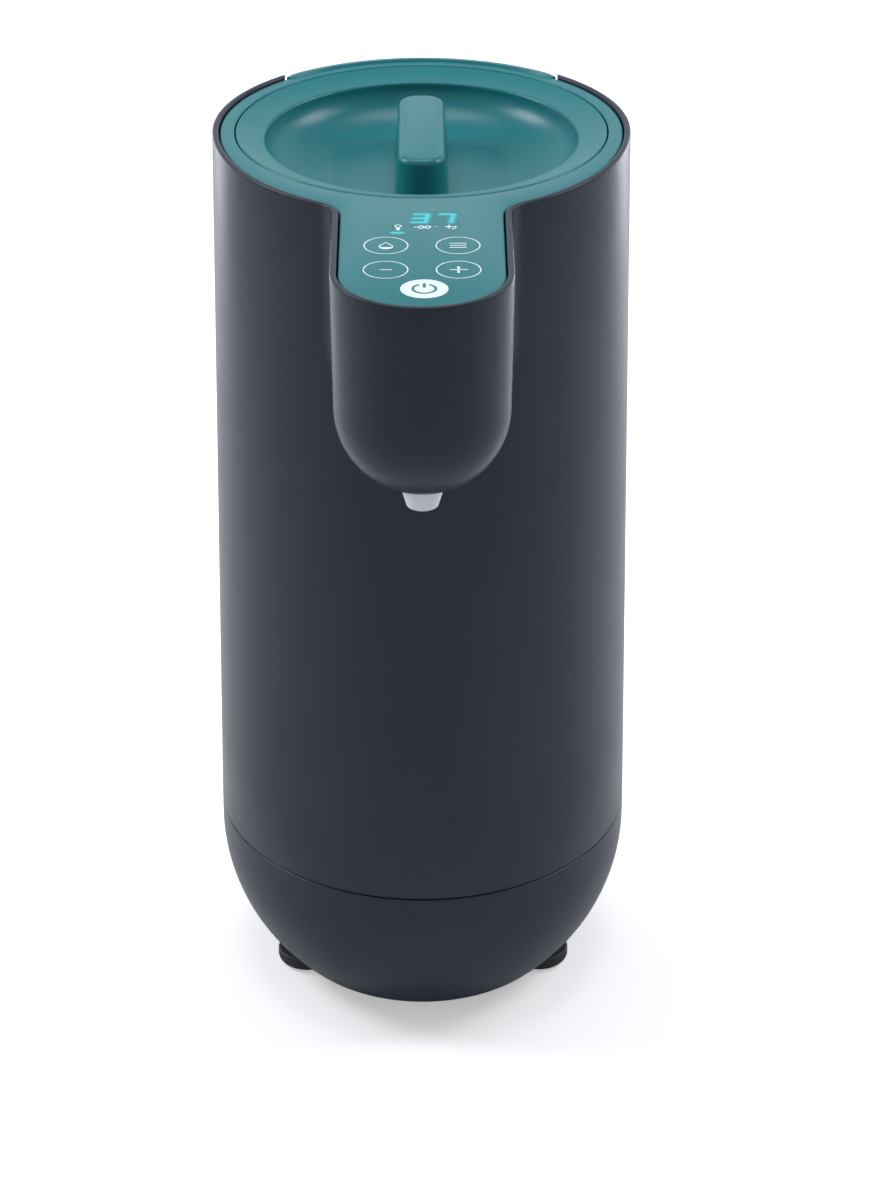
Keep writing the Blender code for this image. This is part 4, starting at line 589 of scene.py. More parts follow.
def scatter(name, places, shape_mesh, material, tilt=0.0):
    """Sets one copy of a mesh on each place with Geometry Nodes, and returns them as a plain mesh."""
    carrier_mesh = bpy.data.meshes.new(name)
    carrier_mesh.from_pydata([(x, y + AXIS_Y, z) for x, y, z in places], [], [])
    carrier = placed(name, carrier_mesh)
    sample = placed(name + "_sample", shape_mesh)
    tree = bpy.data.node_groups.new(name, "GeometryNodeTree")
    tree.interface.new_socket("Geometry", in_out="INPUT", socket_type="NodeSocketGeometry")
    one = tree.interface.new_socket("One piece", in_out="INPUT", socket_type="NodeSocketObject")
    size = tree.interface.new_socket("Size", in_out="INPUT", socket_type="NodeSocketFloat")
    lean = tree.interface.new_socket("Tilt", in_out="INPUT", socket_type="NodeSocketFloat")
    finish = tree.interface.new_socket("Finish", in_out="INPUT", socket_type="NodeSocketMaterial")
    tree.interface.new_socket("Geometry", in_out="OUTPUT", socket_type="NodeSocketGeometry")
    given = add_node(tree, "NodeGroupInput")
    shown = add_node(tree, "GeometryNodeObjectInfo", {"Object": given.outputs["One piece"]})
    turn = add_node(tree, "ShaderNodeCombineXYZ", {"X": given.outputs["Tilt"]})
    spread = add_node(
        tree,
        "GeometryNodeInstanceOnPoints",
        {
            "Points": given.outputs["Geometry"],
            "Instance": shown.outputs["Geometry"],
            "Rotation": turn.outputs[0],
            "Scale": given.outputs["Size"],
        },
    )
    real = add_node(tree, "GeometryNodeRealizeInstances", {"Geometry": spread.outputs[0]})
    painted = add_node(
        tree, "GeometryNodeSetMaterial", {"Geometry": real.outputs[0], "Material": given.outputs["Finish"]}
    )
    add_node(tree, "NodeGroupOutput", {"Geometry": painted.outputs[0]})
    step = carrier.modifiers.new("scatter", "NODES")
    step.node_group = tree
    step[one.identifier] = sample
    step[size.identifier] = 1.0
    step[lean.identifier] = tilt
    step[finish.identifier] = material
    made = settled(carrier, step)
    bpy.data.objects.remove(carrier, do_unlink=True)
    bpy.data.objects.remove(sample, do_unlink=True)
    made.name = name
    return made


foot_profile = [(0.0, FOOT_TOP), (FOOT_RADIUS - FOOT_EDGE, FOOT_TOP), (FOOT_RADIUS, FOOT_TOP - FOOT_EDGE)]
foot_profile += rounding((FOOT_RADIUS - FOOT_ROUND, FOOT_ROUND), FOOT_ROUND, 0, -90, 8)
foot_profile += [(FOOT_LAND_RADIUS, 0.0), (FOOT_DISH_RADIUS, FOOT_DISH), (0.0, FOOT_DISH)]
foot_mesh = turned(foot_profile, "foot", (0.0, -AXIS_Y, 0.0), SMALL_STEPS)
feet_mesh = scatter("feet", [(x, y, 0.0) for x, y in FOOT_PLACES.values()], foot_mesh, RUBBER)
dressed("feet", feet_mesh, RUBBER, "housing", "rubber", *FOOT_PLACES)


# Deck: the teal ABS plate round the lid and along the spout, with its lip in the rim's notch.
# Below it a ledge seats the lid, and a collar reaches down to the tank's gasket.

TEAL_ABS = moulded("satin_teal_abs", "#1b747b", "#187077", 0.33, 0.3 * MM, 0.008 * MM, gloss=0.34)

DECK_TOP = BODY_HEIGHT - 0.8 * MM
DECK_UNDER = DECK_TOP - 2.4 * MM
DECK_GAP = 0.4 * MM
DECK_EDGE = 0.6 * MM
LID_OPENING = 58.2 * MM
OPENING_EDGE = 0.35 * MM
LID_SEAT = DECK_TOP - 4.4 * MM
SEAT_WALL = 2.0 * MM
COLLAR_RADIUS = 54.0 * MM
COLLAR_WALL = 2.0 * MM
COLLAR_BOTTOM = DECK_TOP - 22.0 * MM
LIP_INSET = 1.3 * MM
LIP_HALF_WIDTH = 43.1 * MM
LIP_LOW = BODY_HEIGHT - 8.6 * MM
LIP_ROUND = 0.5 * MM
LIP_ROUND_MIDDLE = 0.15 * MM
LIP_LAND = 0.8 * MM
LIP_OVERLAP = 1.4 * MM
LIP_SUNK = 0.02 * MM
LIP_ROWS = 48
LIP_END_ROWS = 2


def whole(half):
    """A half row and its mirror image as one closed ring."""
    return half + [Vector((-p.x, p.y, p.z)) for p in reversed(half[1:-1])]


deck_inset = SHELL_WALL + DECK_GAP
edge_rings = [whole(shell_row(deck_inset, 0.0, DECK_UNDER))]
for across, rise in rounding((DECK_EDGE, -DECK_EDGE), DECK_EDGE, 180, 90):
    edge_rings.append(whole(shell_row(deck_inset + across, 0.0, DECK_TOP + rise)))
hub_profile = rounding((LID_OPENING + OPENING_EDGE, DECK_TOP - OPENING_EDGE), OPENING_EDGE, 90, 180)
hub_profile += [
    (LID_OPENING, LID_SEAT),
    (COLLAR_RADIUS, LID_SEAT),
    (COLLAR_RADIUS, COLLAR_BOTTOM),
    (COLLAR_RADIUS + COLLAR_WALL, COLLAR_BOTTOM),
    (COLLAR_RADIUS + COLLAR_WALL, LID_SEAT - SEAT_WALL),
    (LID_OPENING + SEAT_WALL, LID_SEAT - SEAT_WALL),
    (LID_OPENING + SEAT_WALL, DECK_UNDER),
]
ways = [Vector((p.x, p.y, 0.0)).normalized() for p in edge_rings[-1]]
hub_rings = [[way * radius + Vector((0.0, 0.0, height)) for way in ways] for radius, height in hub_profile]
deck_shape = bmesh.new()
rings = [[deck_shape.verts.new(p) for p in ring] for ring in edge_rings + hub_rings]
bridged(deck_shape, rings + rings[:1])
deck = dressed("deck_plate", finished(deck_shape, "deck_plate"), TEAL_ABS, "housing", "teal_plastic", "deck")

lip_limit = math.pi - math.asin(LIP_HALF_WIDTH / (BODY_HALF_WIDTH - LIP_INSET))
lip_shape = bmesh.new()
lip_rows = []
for i in range(LIP_ROWS + 1):
    turn = lip_limit + 2 * (math.pi - lip_limit) * i / LIP_ROWS
    end_share = min(i, LIP_ROWS - i) / LIP_END_ROWS
    top = BODY_HEIGHT - LIP_ROUND * max(1 - end_share, 0.0) ** 2
    section = [
        (LIP_INSET, LIP_LOW),
        (LIP_INSET, top - LIP_ROUND),
        (LIP_INSET + LIP_ROUND_MIDDLE, top - LIP_ROUND_MIDDLE),
        (LIP_INSET + LIP_ROUND, top),
        (deck_inset + LIP_LAND, top),
        (deck_inset + LIP_OVERLAP, DECK_TOP - LIP_SUNK),
        (deck_inset + LIP_OVERLAP, LIP_LOW),
    ]
    edge = [(oval(turn, BODY_HEIGHT, inset)[0], z) for inset, z in section]
    lip_rows.append([lip_shape.verts.new((place.x, place.y, z)) for place, z in edge])
bridged(lip_shape, lip_rows)
lip_shape.faces.new(lip_rows[0])
lip_shape.faces.new(lip_rows[-1])
cut(deck, finished(lip_shape, "rear_lip"), "UNION")


# Prints: thin white screen-printed marks on the spout, four touch rings with their signs, and the
# round power mark. The ink stands hardly proud of the deck.

INK = moulded("screen_printed_white_ink", "#e6f4f4", "#dff0f0", 0.45, 0.3 * MM, 0.004 * MM)
TEAL_INK = moulded("teal_cut_out_of_the_power_mark", "#1b747b", "#187077", 0.45, 0.3 * MM, 0.004 * MM)

INK_HEIGHT = 0.04 * MM
KEY_SIDE = 10.5 * MM
KEY_REAR_REACH = 95.6 * MM
KEY_FRONT_REACH = 114.0 * MM
POWER_REACH = 128.2 * MM
KEY_RING = 6.4 * MM
RING_LINE = 0.34 * MM
POWER_DISC = 6.9 * MM
SIGN_LINE = 0.45 * MM
MINUS_LENGTH = 3.6 * MM
PLUS_LENGTH = 5.4 * MM
PLUS_HEIGHT = 5.0 * MM
PLUS_LINE = 0.75 * MM
MENU_LENGTH = 5.0 * MM
MENU_PITCH = 1.6 * MM
DROP_RADIUS = 2.1 * MM
DROP_TIP = 3.4 * MM
DROP_SHIFT = 0.8 * MM
DROP_LINE = 0.35 * MM
DROP_TIP_LINE = 0.55 * MM
DROP_WATER = 0.3 * MM
POWER_SHIFT = 0.6 * MM
POWER_RING = 3.3 * MM
POWER_LINE = 0.8 * MM
STROKE_RISE = 2.4 * MM
STROKE_LENGTH = 3.2 * MM
STROKE_LINE = 0.9 * MM


def ink_mesh(outlines, height=INK_HEIGHT, base=0.0):
    """Flat printed outlines as one mesh that stands on the deck."""
    shape = bmesh.new()
    for outline in outlines:
        shape.from_mesh(prism(outline, DECK_TOP + base, DECK_TOP + base + height, "ink"))
    bmesh.ops.translate(shape, verts=shape.verts, vec=(0.0, -AXIS_Y, 0.0))
    return finished(shape, "ink")


def bar(centre, length, width, turn=0.0):
    """A printed bar with round ends."""
    spin = Matrix.Rotation(turn, 2)
    return [tuple(Vector(centre) + spin @ Vector((y, x))) for x, y in slot_outline(length, width, 6)][::-1]


def band(centre, radius, line, start=0.0, end=360.0, steps=64):
    """A printed ring or part of one, as short pieces of one outline."""
    outer = rounding(centre, radius + line / 2, start, end, steps)
    inner = rounding(centre, radius - line / 2, end, start, steps)
    if end - start < 360.0:
        return [outer + inner]
    half = steps // 2
    return [outer[: half + 1] + inner[half:], outer[half:] + inner[: half + 1]]


rear_left = (-KEY_SIDE, -KEY_REAR_REACH)
rear_right = (KEY_SIDE, -KEY_REAR_REACH)
front_left = (-KEY_SIDE, -KEY_FRONT_REACH)
front_right = (KEY_SIDE, -KEY_FRONT_REACH)
signs = []
for centre in (rear_left, rear_right, front_left, front_right):
    signs += band(centre, KEY_RING, RING_LINE)
signs.append(bar(front_left, MINUS_LENGTH, SIGN_LINE))
signs.append(bar(front_right, PLUS_LENGTH, SIGN_LINE))
signs.append(bar(front_right, PLUS_HEIGHT, PLUS_LINE, math.pi / 2))
for step in (-1, 0, 1):
    signs.append(bar((rear_right[0], rear_right[1] + step * MENU_PITCH), MENU_LENGTH, SIGN_LINE))
# The drop is an outline in two halves, a small piece that closes its tip, and the water in it.
drop_centre = (rear_left[0], rear_left[1] - DROP_SHIFT)
drop_turn = math.degrees(math.acos(DROP_RADIUS / DROP_TIP))
outer = rounding(drop_centre, DROP_RADIUS, 90 + drop_turn, 450 - drop_turn, 32)
outer.append((drop_centre[0], drop_centre[1] + DROP_TIP))
inner = rounding(drop_centre, DROP_RADIUS - DROP_LINE, 90 + drop_turn, 450 - drop_turn, 32)
inner.append((drop_centre[0], drop_centre[1] + DROP_TIP - DROP_TIP_LINE))
signs.append(outer[:17] + inner[:17][::-1])
signs.append(outer[16:] + inner[16:][::-1])
signs.append([outer[33], outer[0], inner[0], inner[33]][::-1])
signs.append(rounding(drop_centre, DROP_RADIUS - DROP_WATER, 195, 345, 16))
ink = dressed("touch_marks", ink_mesh(signs), INK, "housing", "white_plastic")
power_place = (POWER_SHIFT, -POWER_REACH)
disc = [rounding(power_place, POWER_DISC, 0, 360 - 360 / 64, 63)]
dressed("power_disc", ink_mesh(disc), INK, "housing", "white_plastic")
sign = band(power_place, POWER_RING, POWER_LINE, 115, 425, 48)
sign.append(bar((power_place[0], power_place[1] + STROKE_RISE), STROKE_LENGTH, STROKE_LINE, math.pi / 2))
dressed("power_sign", ink_mesh(sign, base=INK_HEIGHT), TEAL_INK, "housing", "teal_plastic")


# Display: a digit module that shines through the deck. The thin teal wall spreads its cyan light, so
# the figures look soft and have no hard edge. A dash under the left sign glows the same way.

GLOW_GRID = 0.3 * MM
GLOW_SOFT = 0.62 * MM
DIGIT_WIDTH = 3.7 * MM
DIGIT_HEIGHT = 6.4 * MM
DIGIT_SLANT = 0.12
DIGIT_MIDDLE = -74.4 * MM
DIGIT_PLACES = {"3": -0.4 * MM, "7": 7.2 * MM}
SEGMENTS = {
    "top": ((0, 1), (1, 1)),
    "middle": ((0, 0.5), (1, 0.5)),
    "bottom": ((0, 0), (1, 0)),
    "upper right": ((1, 0.5), (1, 1)),
    "lower right": ((1, 0), (1, 0.5)),
}
LIT = {
    "3": ("top", "middle", "bottom", "upper right", "lower right"),
    "7": ("top", "upper right", "lower right"),
}
SIGN_ROW = -81.4 * MM
SIGN_PLACES = (-7.2 * MM, 0.7 * MM, 8.6 * MM)
DASH_DROP = 4.4 * MM
DASH_HALF = 1.3 * MM
PATCH_LEFT, PATCH_RIGHT = -3.6 * MM, 11.0 * MM
PATCH_HALF = 5.4 * MM

lit_lines = []
for figure, middle in DIGIT_PLACES.items():
    for segment in LIT[figure]:
        ends = []
        for across, up in SEGMENTS[segment]:
            y = DIGIT_MIDDLE + (up - 0.5) * DIGIT_HEIGHT
            x = middle + (across - 0.5) * DIGIT_WIDTH + (y - DIGIT_MIDDLE) * DIGIT_SLANT
            ends.append(Vector((x, y)))
        lit_lines.append(ends)
dash = Vector((SIGN_PLACES[0], SIGN_ROW - DASH_DROP))
lit_lines.append([dash - Vector((DASH_HALF, 0.0)), dash + Vector((DASH_HALF, 0.0))])


def glow_at(place):
    """How brightly the deck shines at a place, by its distance from the nearest lit line."""
    away = min((place - nearest_on(place, *ends)).length for ends in lit_lines)
    return math.exp(-((away / GLOW_SOFT) ** 2) / 2) if away > GLOW_SOFT / 2 else 1.0


def nearest_on(place, start, end):
    """The point of a short line that is nearest to a place."""
    along = (place - start).dot(end - start) / (end - start).length_squared
    return start + (end - start) * min(max(along, 0.0), 1.0)


def glowing_patch(low, high, name):
    """A hardly raised patch of the deck that knows how brightly each of its points shines."""
    columns = round((high[0] - low[0]) / GLOW_GRID)
    lines = round((high[1] - low[1]) / GLOW_GRID)
    shape = bmesh.new()
    top = DECK_TOP + INK_HEIGHT / 2
    grid = []
    for j in range(lines + 1):
        y = low[1] + (high[1] - low[1]) * j / lines
        across = [low[0] + (high[0] - low[0]) * i / columns for i in range(columns + 1)]
        grid.append([shape.verts.new((x, y, top)) for x in across])
    for row, after in zip(grid, grid[1:]):
        for i in range(columns):
            shape.faces.new((row[i], row[i + 1], after[i + 1], after[i]))
    edge = [e for e in shape.edges if e.is_boundary]
    lowered = bmesh.ops.extrude_edge_only(shape, edges=edge)["geom"]
    foot = [v for v in lowered if isinstance(v, bmesh.types.BMVert)]
    for v in foot:
        v.co.z = DECK_TOP - INK_HEIGHT
    bmesh.ops.contextual_create(shape, geom=[e for e in shape.edges if e.is_boundary])
    mesh = finished(shape, name)
    shine = mesh.attributes.new("shine", "FLOAT", "POINT")
    for corner, value in zip(mesh.vertices, shine.data):
        value.value = glow_at(Vector((corner.co.x, corner.co.y - AXIS_Y)))
    return mesh


# The lit deck is the same satin ABS. Light from behind turns it cyan where the digits are.
LIT_ABS = moulded("teal_abs_lit_from_behind", "#1b747b", "#187077", 0.33, 0.3 * MM, 0.008 * MM, gloss=0.34)
lit_tree = LIT_ABS.node_tree
lit_shader = lit_tree.nodes["Principled BSDF"]
lit_shader.inputs["Emission Color"].default_value = linear("#2fb0bb")
shine_of = add_node(lit_tree, "ShaderNodeAttribute", attribute_name="shine")
lit_tree.links.new(shine_of.outputs["Fac"], lit_shader.inputs["Emission Strength"])
patch_low = (PATCH_LEFT, DIGIT_MIDDLE - PATCH_HALF)
patch_high = (PATCH_RIGHT, DIGIT_MIDDLE + PATCH_HALF)
dressed("lit_digits", glowing_patch(patch_low, patch_high, "lit_digits"), LIT_ABS, "housing", "teal_plastic")
dash_margin = Vector((3 * DASH_HALF / 2 + GLOW_SOFT, 3 * GLOW_SOFT))
dash_low, dash_high = dash - dash_margin, dash + dash_margin
dressed("lit_dash", glowing_patch(dash_low, dash_high, "lit_dash"), LIT_ABS, "housing", "teal_plastic")

THIN_LINE = 0.36 * MM
TALL_SHARE = 1.35
# Each star's place from the middle of its sign, its reach and its waist, in millimetres.
STARS = ((-0.6, 0.4, 1.6, 0.55), (1.3, 0.2, 0.8, 0.3), (0.7, -1.2, 0.7, 0.28))


def star(centre, reach, waist):
    """A four-pointed star."""
    points = []
    for i in range(8):
        radius = reach if i % 2 == 0 else waist
        turn = math.tau * i / 8
        points.append((centre[0] + radius * math.sin(turn), centre[1] + radius * math.cos(turn)))
    return points[::-1]


def nudged(centre, across, up):
    """A place beside another one, in millimetres."""
    return (centre[0] + across * MM, centre[1] + up * MM)


# The small signs: a bottle that warms, an amount and a clean sparkle.
cup, amount, sparkle = ((x, SIGN_ROW) for x in SIGN_PLACES)
small_signs = band(nudged(cup, 0.2, 0.9), 0.9 * MM, THIN_LINE, steps=32)
small_signs.append(bar(nudged(cup, 0.2, -1.1), 2.6 * MM, 1.1 * MM, math.pi / 2))
for i in (-1, 0, 1):
    small_signs.append(bar(nudged(cup, -1.5, 0.8 * i + 0.5), THIN_LINE, 0.6 * MM))
small_signs.append(bar(nudged(amount, -2.1, 0.0), 2.2 * MM, THIN_LINE))
for across in (-0.95, 0.95):
    for half in band(nudged(amount, across, 0.0), 0.72 * MM, THIN_LINE, steps=32):
        small_signs.append([(x, amount[1] + (y - amount[1]) * TALL_SHARE) for x, y in half])
for i in range(3):
    small_signs.append(bar(nudged(amount, 2.2 + 0.55 * i, 0.5), 1.0 * MM, THIN_LINE))
for across, up, reach, waist in STARS:
    small_signs.append(star(nudged(sparkle, across, up), reach * MM, waist * MM))
dressed("small_signs", ink_mesh(small_signs), INK, "housing", "white_plastic")


# Lid: a dished plug of the same teal ABS, moulded in one with its bar grip. Its flange slopes in to a
# rolled edge, and the floor has a shallow square sink round the bar.

LID_RADIUS = 57.8 * MM
LID_EDGE = 0.6 * MM
BOWL_RADIUS = 48.7 * MM
BOWL_EDGE_DROP = 3.1 * MM
BOWL_FLOOR = BODY_HEIGHT - 15.5 * MM
BOWL_FLOOR_RADIUS = 30.0 * MM
BOWL_WALL = 2.2 * MM
BOWL_ROLL = 1.0 * MM
BOWL_ROWS = 28
FLOOR_ROWS = 30
FLOOR_SLACK = 0.1 * MM
FLOOR_BAND = 3.0 * MM
SKIRT_RADIUS = 51.6 * MM
GRIP_LENGTH = 59.0 * MM
GRIP_WIDTH = 14.6 * MM
GRIP_CORNER = 6.4 * MM
GRIP_DRAFT = 1.1 * MM
GRIP_EDGE = 2.0 * MM
GRIP_SUNK = 1.0 * MM
GRIP_ROWS = 6
SINK_HALF = 27.0 * MM
SINK_CORNER = 8.0 * MM
SINK_DEPTH = 0.7 * MM
SINK_SLOPE = 2.0 * MM

bowl_edge = BODY_HEIGHT - BOWL_EDGE_DROP
surface = rounding((LID_RADIUS - LID_EDGE, DECK_TOP - LID_EDGE), LID_EDGE, 0, 80)
surface += rounding((BOWL_RADIUS + BOWL_ROLL, bowl_edge - BOWL_ROLL), BOWL_ROLL, 80, 175, 8)
wall_height = bowl_edge - BOWL_ROLL - BOWL_FLOOR
for i in range(1, BOWL_ROWS + 1):
    turn = math.pi / 2 * i / BOWL_ROWS
    across = BOWL_FLOOR_RADIUS + (BOWL_RADIUS - BOWL_FLOOR_RADIUS) * math.cos(turn)
    surface.append((across, BOWL_FLOOR + wall_height * (1 - math.sin(turn))))
surface += [(BOWL_FLOOR_RADIUS * (1 - i / FLOOR_ROWS), BOWL_FLOOR) for i in range(1, FLOOR_ROWS + 1)]
underside = [
    (0.0, BOWL_FLOOR - BOWL_WALL),
    (BOWL_FLOOR_RADIUS, BOWL_FLOOR - BOWL_WALL),
    (BOWL_RADIUS - BOWL_WALL, BOWL_FLOOR + BOWL_WALL),
    (SKIRT_RADIUS - BOWL_WALL, LID_SEAT + FIT_GAP),
    (SKIRT_RADIUS - BOWL_WALL, BOWL_FLOOR - BOWL_WALL),
    (SKIRT_RADIUS, BOWL_FLOOR - BOWL_WALL),
    (SKIRT_RADIUS, LID_SEAT + FIT_GAP),
    (LID_RADIUS, LID_SEAT + FIT_GAP),
]
lid_mesh = turned(surface + underside, "lid_dish")
for corner in lid_mesh.vertices:
    x, y = abs(corner.co.x), abs(corner.co.y - AXIS_Y)
    in_bowl = math.hypot(x, y) < BOWL_RADIUS - BOWL_WALL
    if in_bowl and BOWL_FLOOR - FLOOR_SLACK < corner.co.z < BOWL_FLOOR + FLOOR_BAND:
        outside_x = max(x - (SINK_HALF - SINK_CORNER), 0.0)
        outside_y = max(y - (SINK_HALF - SINK_CORNER), 0.0)
        away = math.hypot(outside_x, outside_y) - SINK_CORNER
        share = min(max(0.5 - away / SINK_SLOPE, 0.0), 1.0)
        corner.co.z -= SINK_DEPTH * share * share * (3 - 2 * share)
lid = dressed("lid_dish", lid_mesh, TEAL_ABS, "lid", "teal_plastic", "lid_bowl")


def rounded_box(length, width, corner, steps=10):
    """A rectangle with rounded corners, long along Y, as (x, y) pairs."""
    x, y = width / 2 - corner, length / 2 - corner
    outline = rounding((x, y), corner, 0, 90, steps) + rounding((-x, y), corner, 90, 180, steps)
    return outline + rounding((-x, -y), corner, 180, 270, steps) + rounding((x, -y), corner, 270, 360, steps)


grip_levels = [(BOWL_FLOOR - GRIP_SUNK, -GRIP_DRAFT), (BODY_HEIGHT - GRIP_EDGE, 0.0)]
for i in range(1, GRIP_ROWS + 1):
    turn = math.radians(90 / GRIP_ROWS * i)
    grip_levels.append((BODY_HEIGHT - GRIP_EDGE * (1 - math.sin(turn)), GRIP_EDGE * (1 - math.cos(turn))))
grip_shape = bmesh.new()
grip_rings = []
for height, inset in grip_levels:
    outline = rounded_box(GRIP_LENGTH - 2 * inset, GRIP_WIDTH - 2 * inset, GRIP_CORNER - inset)
    grip_rings.append([grip_shape.verts.new((x, y, height)) for x, y in outline])
bridged(grip_shape, grip_rings)
grip_shape.faces.new(grip_rings[0])
grip_shape.faces.new(grip_rings[-1])
cut(lid, finished(grip_shape, "grip_bar"), "UNION")


# Nozzle: a short white polypropylene tip that pulls down out of the spout for washing. Its mould
# was polished, so it has a wet gloss.

WHITE_PP = moulded("polished_white_polypropylene", "#e4e8ee", "#dfe4eb", 0.30, 0.4 * MM, 0.004 * MM)
NOZZLE_LOW, NOZZLE_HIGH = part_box("nozzle")
NOZZLE_TIP_RADIUS = 4.9 * MM
NOZZLE_TIP_ROUND = 0.9 * MM
NOZZLE_BORE = 2.2 * MM
nozzle_profile = [(NOZZLE_BORE, NOZZLE_HIGH.z), (NOZZLE_RADIUS, NOZZLE_HIGH.z), (NOZZLE_RADIUS, SPOUT_BOTTOM)]
tip_centre = (NOZZLE_TIP_RADIUS - NOZZLE_TIP_ROUND, NOZZLE_LOW.z + NOZZLE_TIP_ROUND)
nozzle_profile += rounding(tip_centre, NOZZLE_TIP_ROUND, 0, -90, 6)
nozzle_profile.append((NOZZLE_BORE, NOZZLE_LOW.z))
nozzle_mesh = turned(nozzle_profile, "nozzle_tip", (0.0, -SPOUT_REACH, 0.0), SMALL_STEPS)
dressed("nozzle_tip", nozzle_mesh, WHITE_PP, "nozzle", "white_plastic", "nozzle")


# Lid liner and seal: a grey polypropylene disc closes the plug from below, and a milky silicone ring
# with two ribs grips the collar. Both are pushed over the lid's skirt.

GREY_PP = moulded("moulded_grey_polypropylene", "#8a8d90", "#828588", 0.42, 0.4 * MM, 0.008 * MM)
SILICONE = moulded("moulded_milky_silicone", "#c9cdd2", "#c2c6cb", 0.48, 0.6 * MM, 0.006 * MM, ior=1.41)

LINER_LOW, LINER_TOP = (corner.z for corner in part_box("lid_liner"))
LINER_RADIUS = 53.5 * MM
LINER_STEP = 1.0 * MM
LINER_HUB = 46.0 * MM
LINER_DROP = 1.6 * MM
LINER_EDGE = 0.4 * MM
SEAL_LOW, SEAL_TOP = (corner.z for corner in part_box("lid_seal"))
SEAL_WAIST = 52.8 * MM
SEAL_RIB = 0.7 * MM

liner = [(0.0, LINER_TOP)]
liner += rounding((LINER_RADIUS - LINER_EDGE, LINER_TOP - LINER_EDGE), LINER_EDGE, 90, 0)
liner += [(LINER_RADIUS, LINER_TOP - LINER_STEP), (SKIRT_RADIUS - BOWL_WALL, LINER_TOP - LINER_STEP)]
liner += rounding(
    (SKIRT_RADIUS - BOWL_WALL - LINER_EDGE, LINER_LOW + LINER_DROP + LINER_EDGE), LINER_EDGE, 0, -90
)
liner += [(LINER_HUB, LINER_LOW + LINER_DROP), (LINER_HUB - LINER_DROP, LINER_LOW), (0.0, LINER_LOW)]
dressed("lid_liner_disc", turned(liner, "lid_liner_disc"), GREY_PP, "lid", "grey_plastic", "lid_liner")

seal = [(SKIRT_RADIUS + FIT_GAP, SEAL_TOP), (SEAL_WAIST, SEAL_TOP)]
seal += rounding((COLLAR_RADIUS - FIT_GAP - SEAL_RIB / 2, SEAL_TOP - SEAL_RIB), SEAL_RIB / 2, 60, -60)
seal += [(SEAL_WAIST, SEAL_TOP - 2 * SEAL_RIB), (SEAL_WAIST, SEAL_LOW + 2 * SEAL_RIB)]
seal += rounding((COLLAR_RADIUS - FIT_GAP - SEAL_RIB / 2, SEAL_LOW + SEAL_RIB), SEAL_RIB / 2, 60, -60)
seal += [(SEAL_WAIST, SEAL_LOW), (SKIRT_RADIUS + FIT_GAP, SEAL_LOW)]
dressed("lid_seal_ring", turned(seal, "lid_seal_ring"), SILICONE, "lid", "silicone", "lid_seal")


# Tank: a deep-drawn cup of stainless steel, brushed round inside. Its flange hangs under the deck's
# collar with a silicone gasket between, and a felt wrap keeps its heat in.


CLOUD_PATCH = 20.0 * MM
LINE_DEPTH = 0.01 * MM
LINE_DRIFT = 0.1


def worked_metal(name, colour, roughness, line, squeeze):
    """Bare metal: fine lines left by the tool run one way, and they show in its gloss and its bump.

    line is how far the lines are apart. Real ones are near 0.05 mm, so they are drawn coarser to show.
    squeeze is how much finer the pattern is along each axis.
    """
    material = bpy.data.materials.new(name)
    material.use_nodes = True
    tree = material.node_tree
    shader = tree.nodes["Principled BSDF"]
    shader.inputs["Metallic"].default_value = 1.0
    where = add_node(tree, "ShaderNodeTexCoord").outputs["Object"]
    stretched = add_node(tree, "ShaderNodeMapping", {"Vector": where}, {"Scale": squeeze})
    lines = add_node(
        tree, "ShaderNodeTexNoise", {"Vector": stretched.outputs[0]}, {"Scale": 1 / line, "Detail": 4.0}
    )
    cloud = add_node(tree, "ShaderNodeTexNoise", {"Vector": where}, {"Scale": 1 / CLOUD_PATCH, "Detail": 2.0})
    tone = add_node(tree, "ShaderNodeValToRGB", {"Fac": cloud.outputs[0]})
    tone.color_ramp.elements[0].position = 0.35
    tone.color_ramp.elements[0].color = linear(colour[1])
    tone.color_ramp.elements[1].position = 0.65
    tone.color_ramp.elements[1].color = linear(colour[0])
    tree.links.new(tone.outputs[0], shader.inputs["Base Color"])
    gloss = add_node(
        tree,
        "ShaderNodeMapRange",
        {"Value": lines.outputs[0]},
        {"To Min": roughness - LINE_DRIFT, "To Max": roughness + LINE_DRIFT},
    )
    tree.links.new(gloss.outputs[0], shader.inputs["Roughness"])
    bump = add_node(
        tree, "ShaderNodeBump", {"Height": lines.outputs[0]}, {"Strength": 0.4, "Distance": LINE_DEPTH}
    )
    tree.links.new(bump.outputs[0], shader.inputs["Normal"])
    return material


# The lines run round the cup, so its wall shows soft level streaks.
DRAWN_STEEL = worked_metal(
    "deep_drawn_stainless_steel", ("#d3d5d6", "#c6c9cb"), 0.28, 0.5 * MM, (0.05, 0.05, 1.0)
)

TANK_RADIUS = 54.0 * MM
TANK_FLANGE = 3.0 * MM
TANK_WALL = 0.8 * MM
TANK_CORNER = 4.0 * MM
OUTLET_REACH = 41.0 * MM
OUTLET_RADIUS = 4.0 * MM
OUTLET_BORE = 2.9 * MM
OUTLET_LENGTH = 9.0 * MM

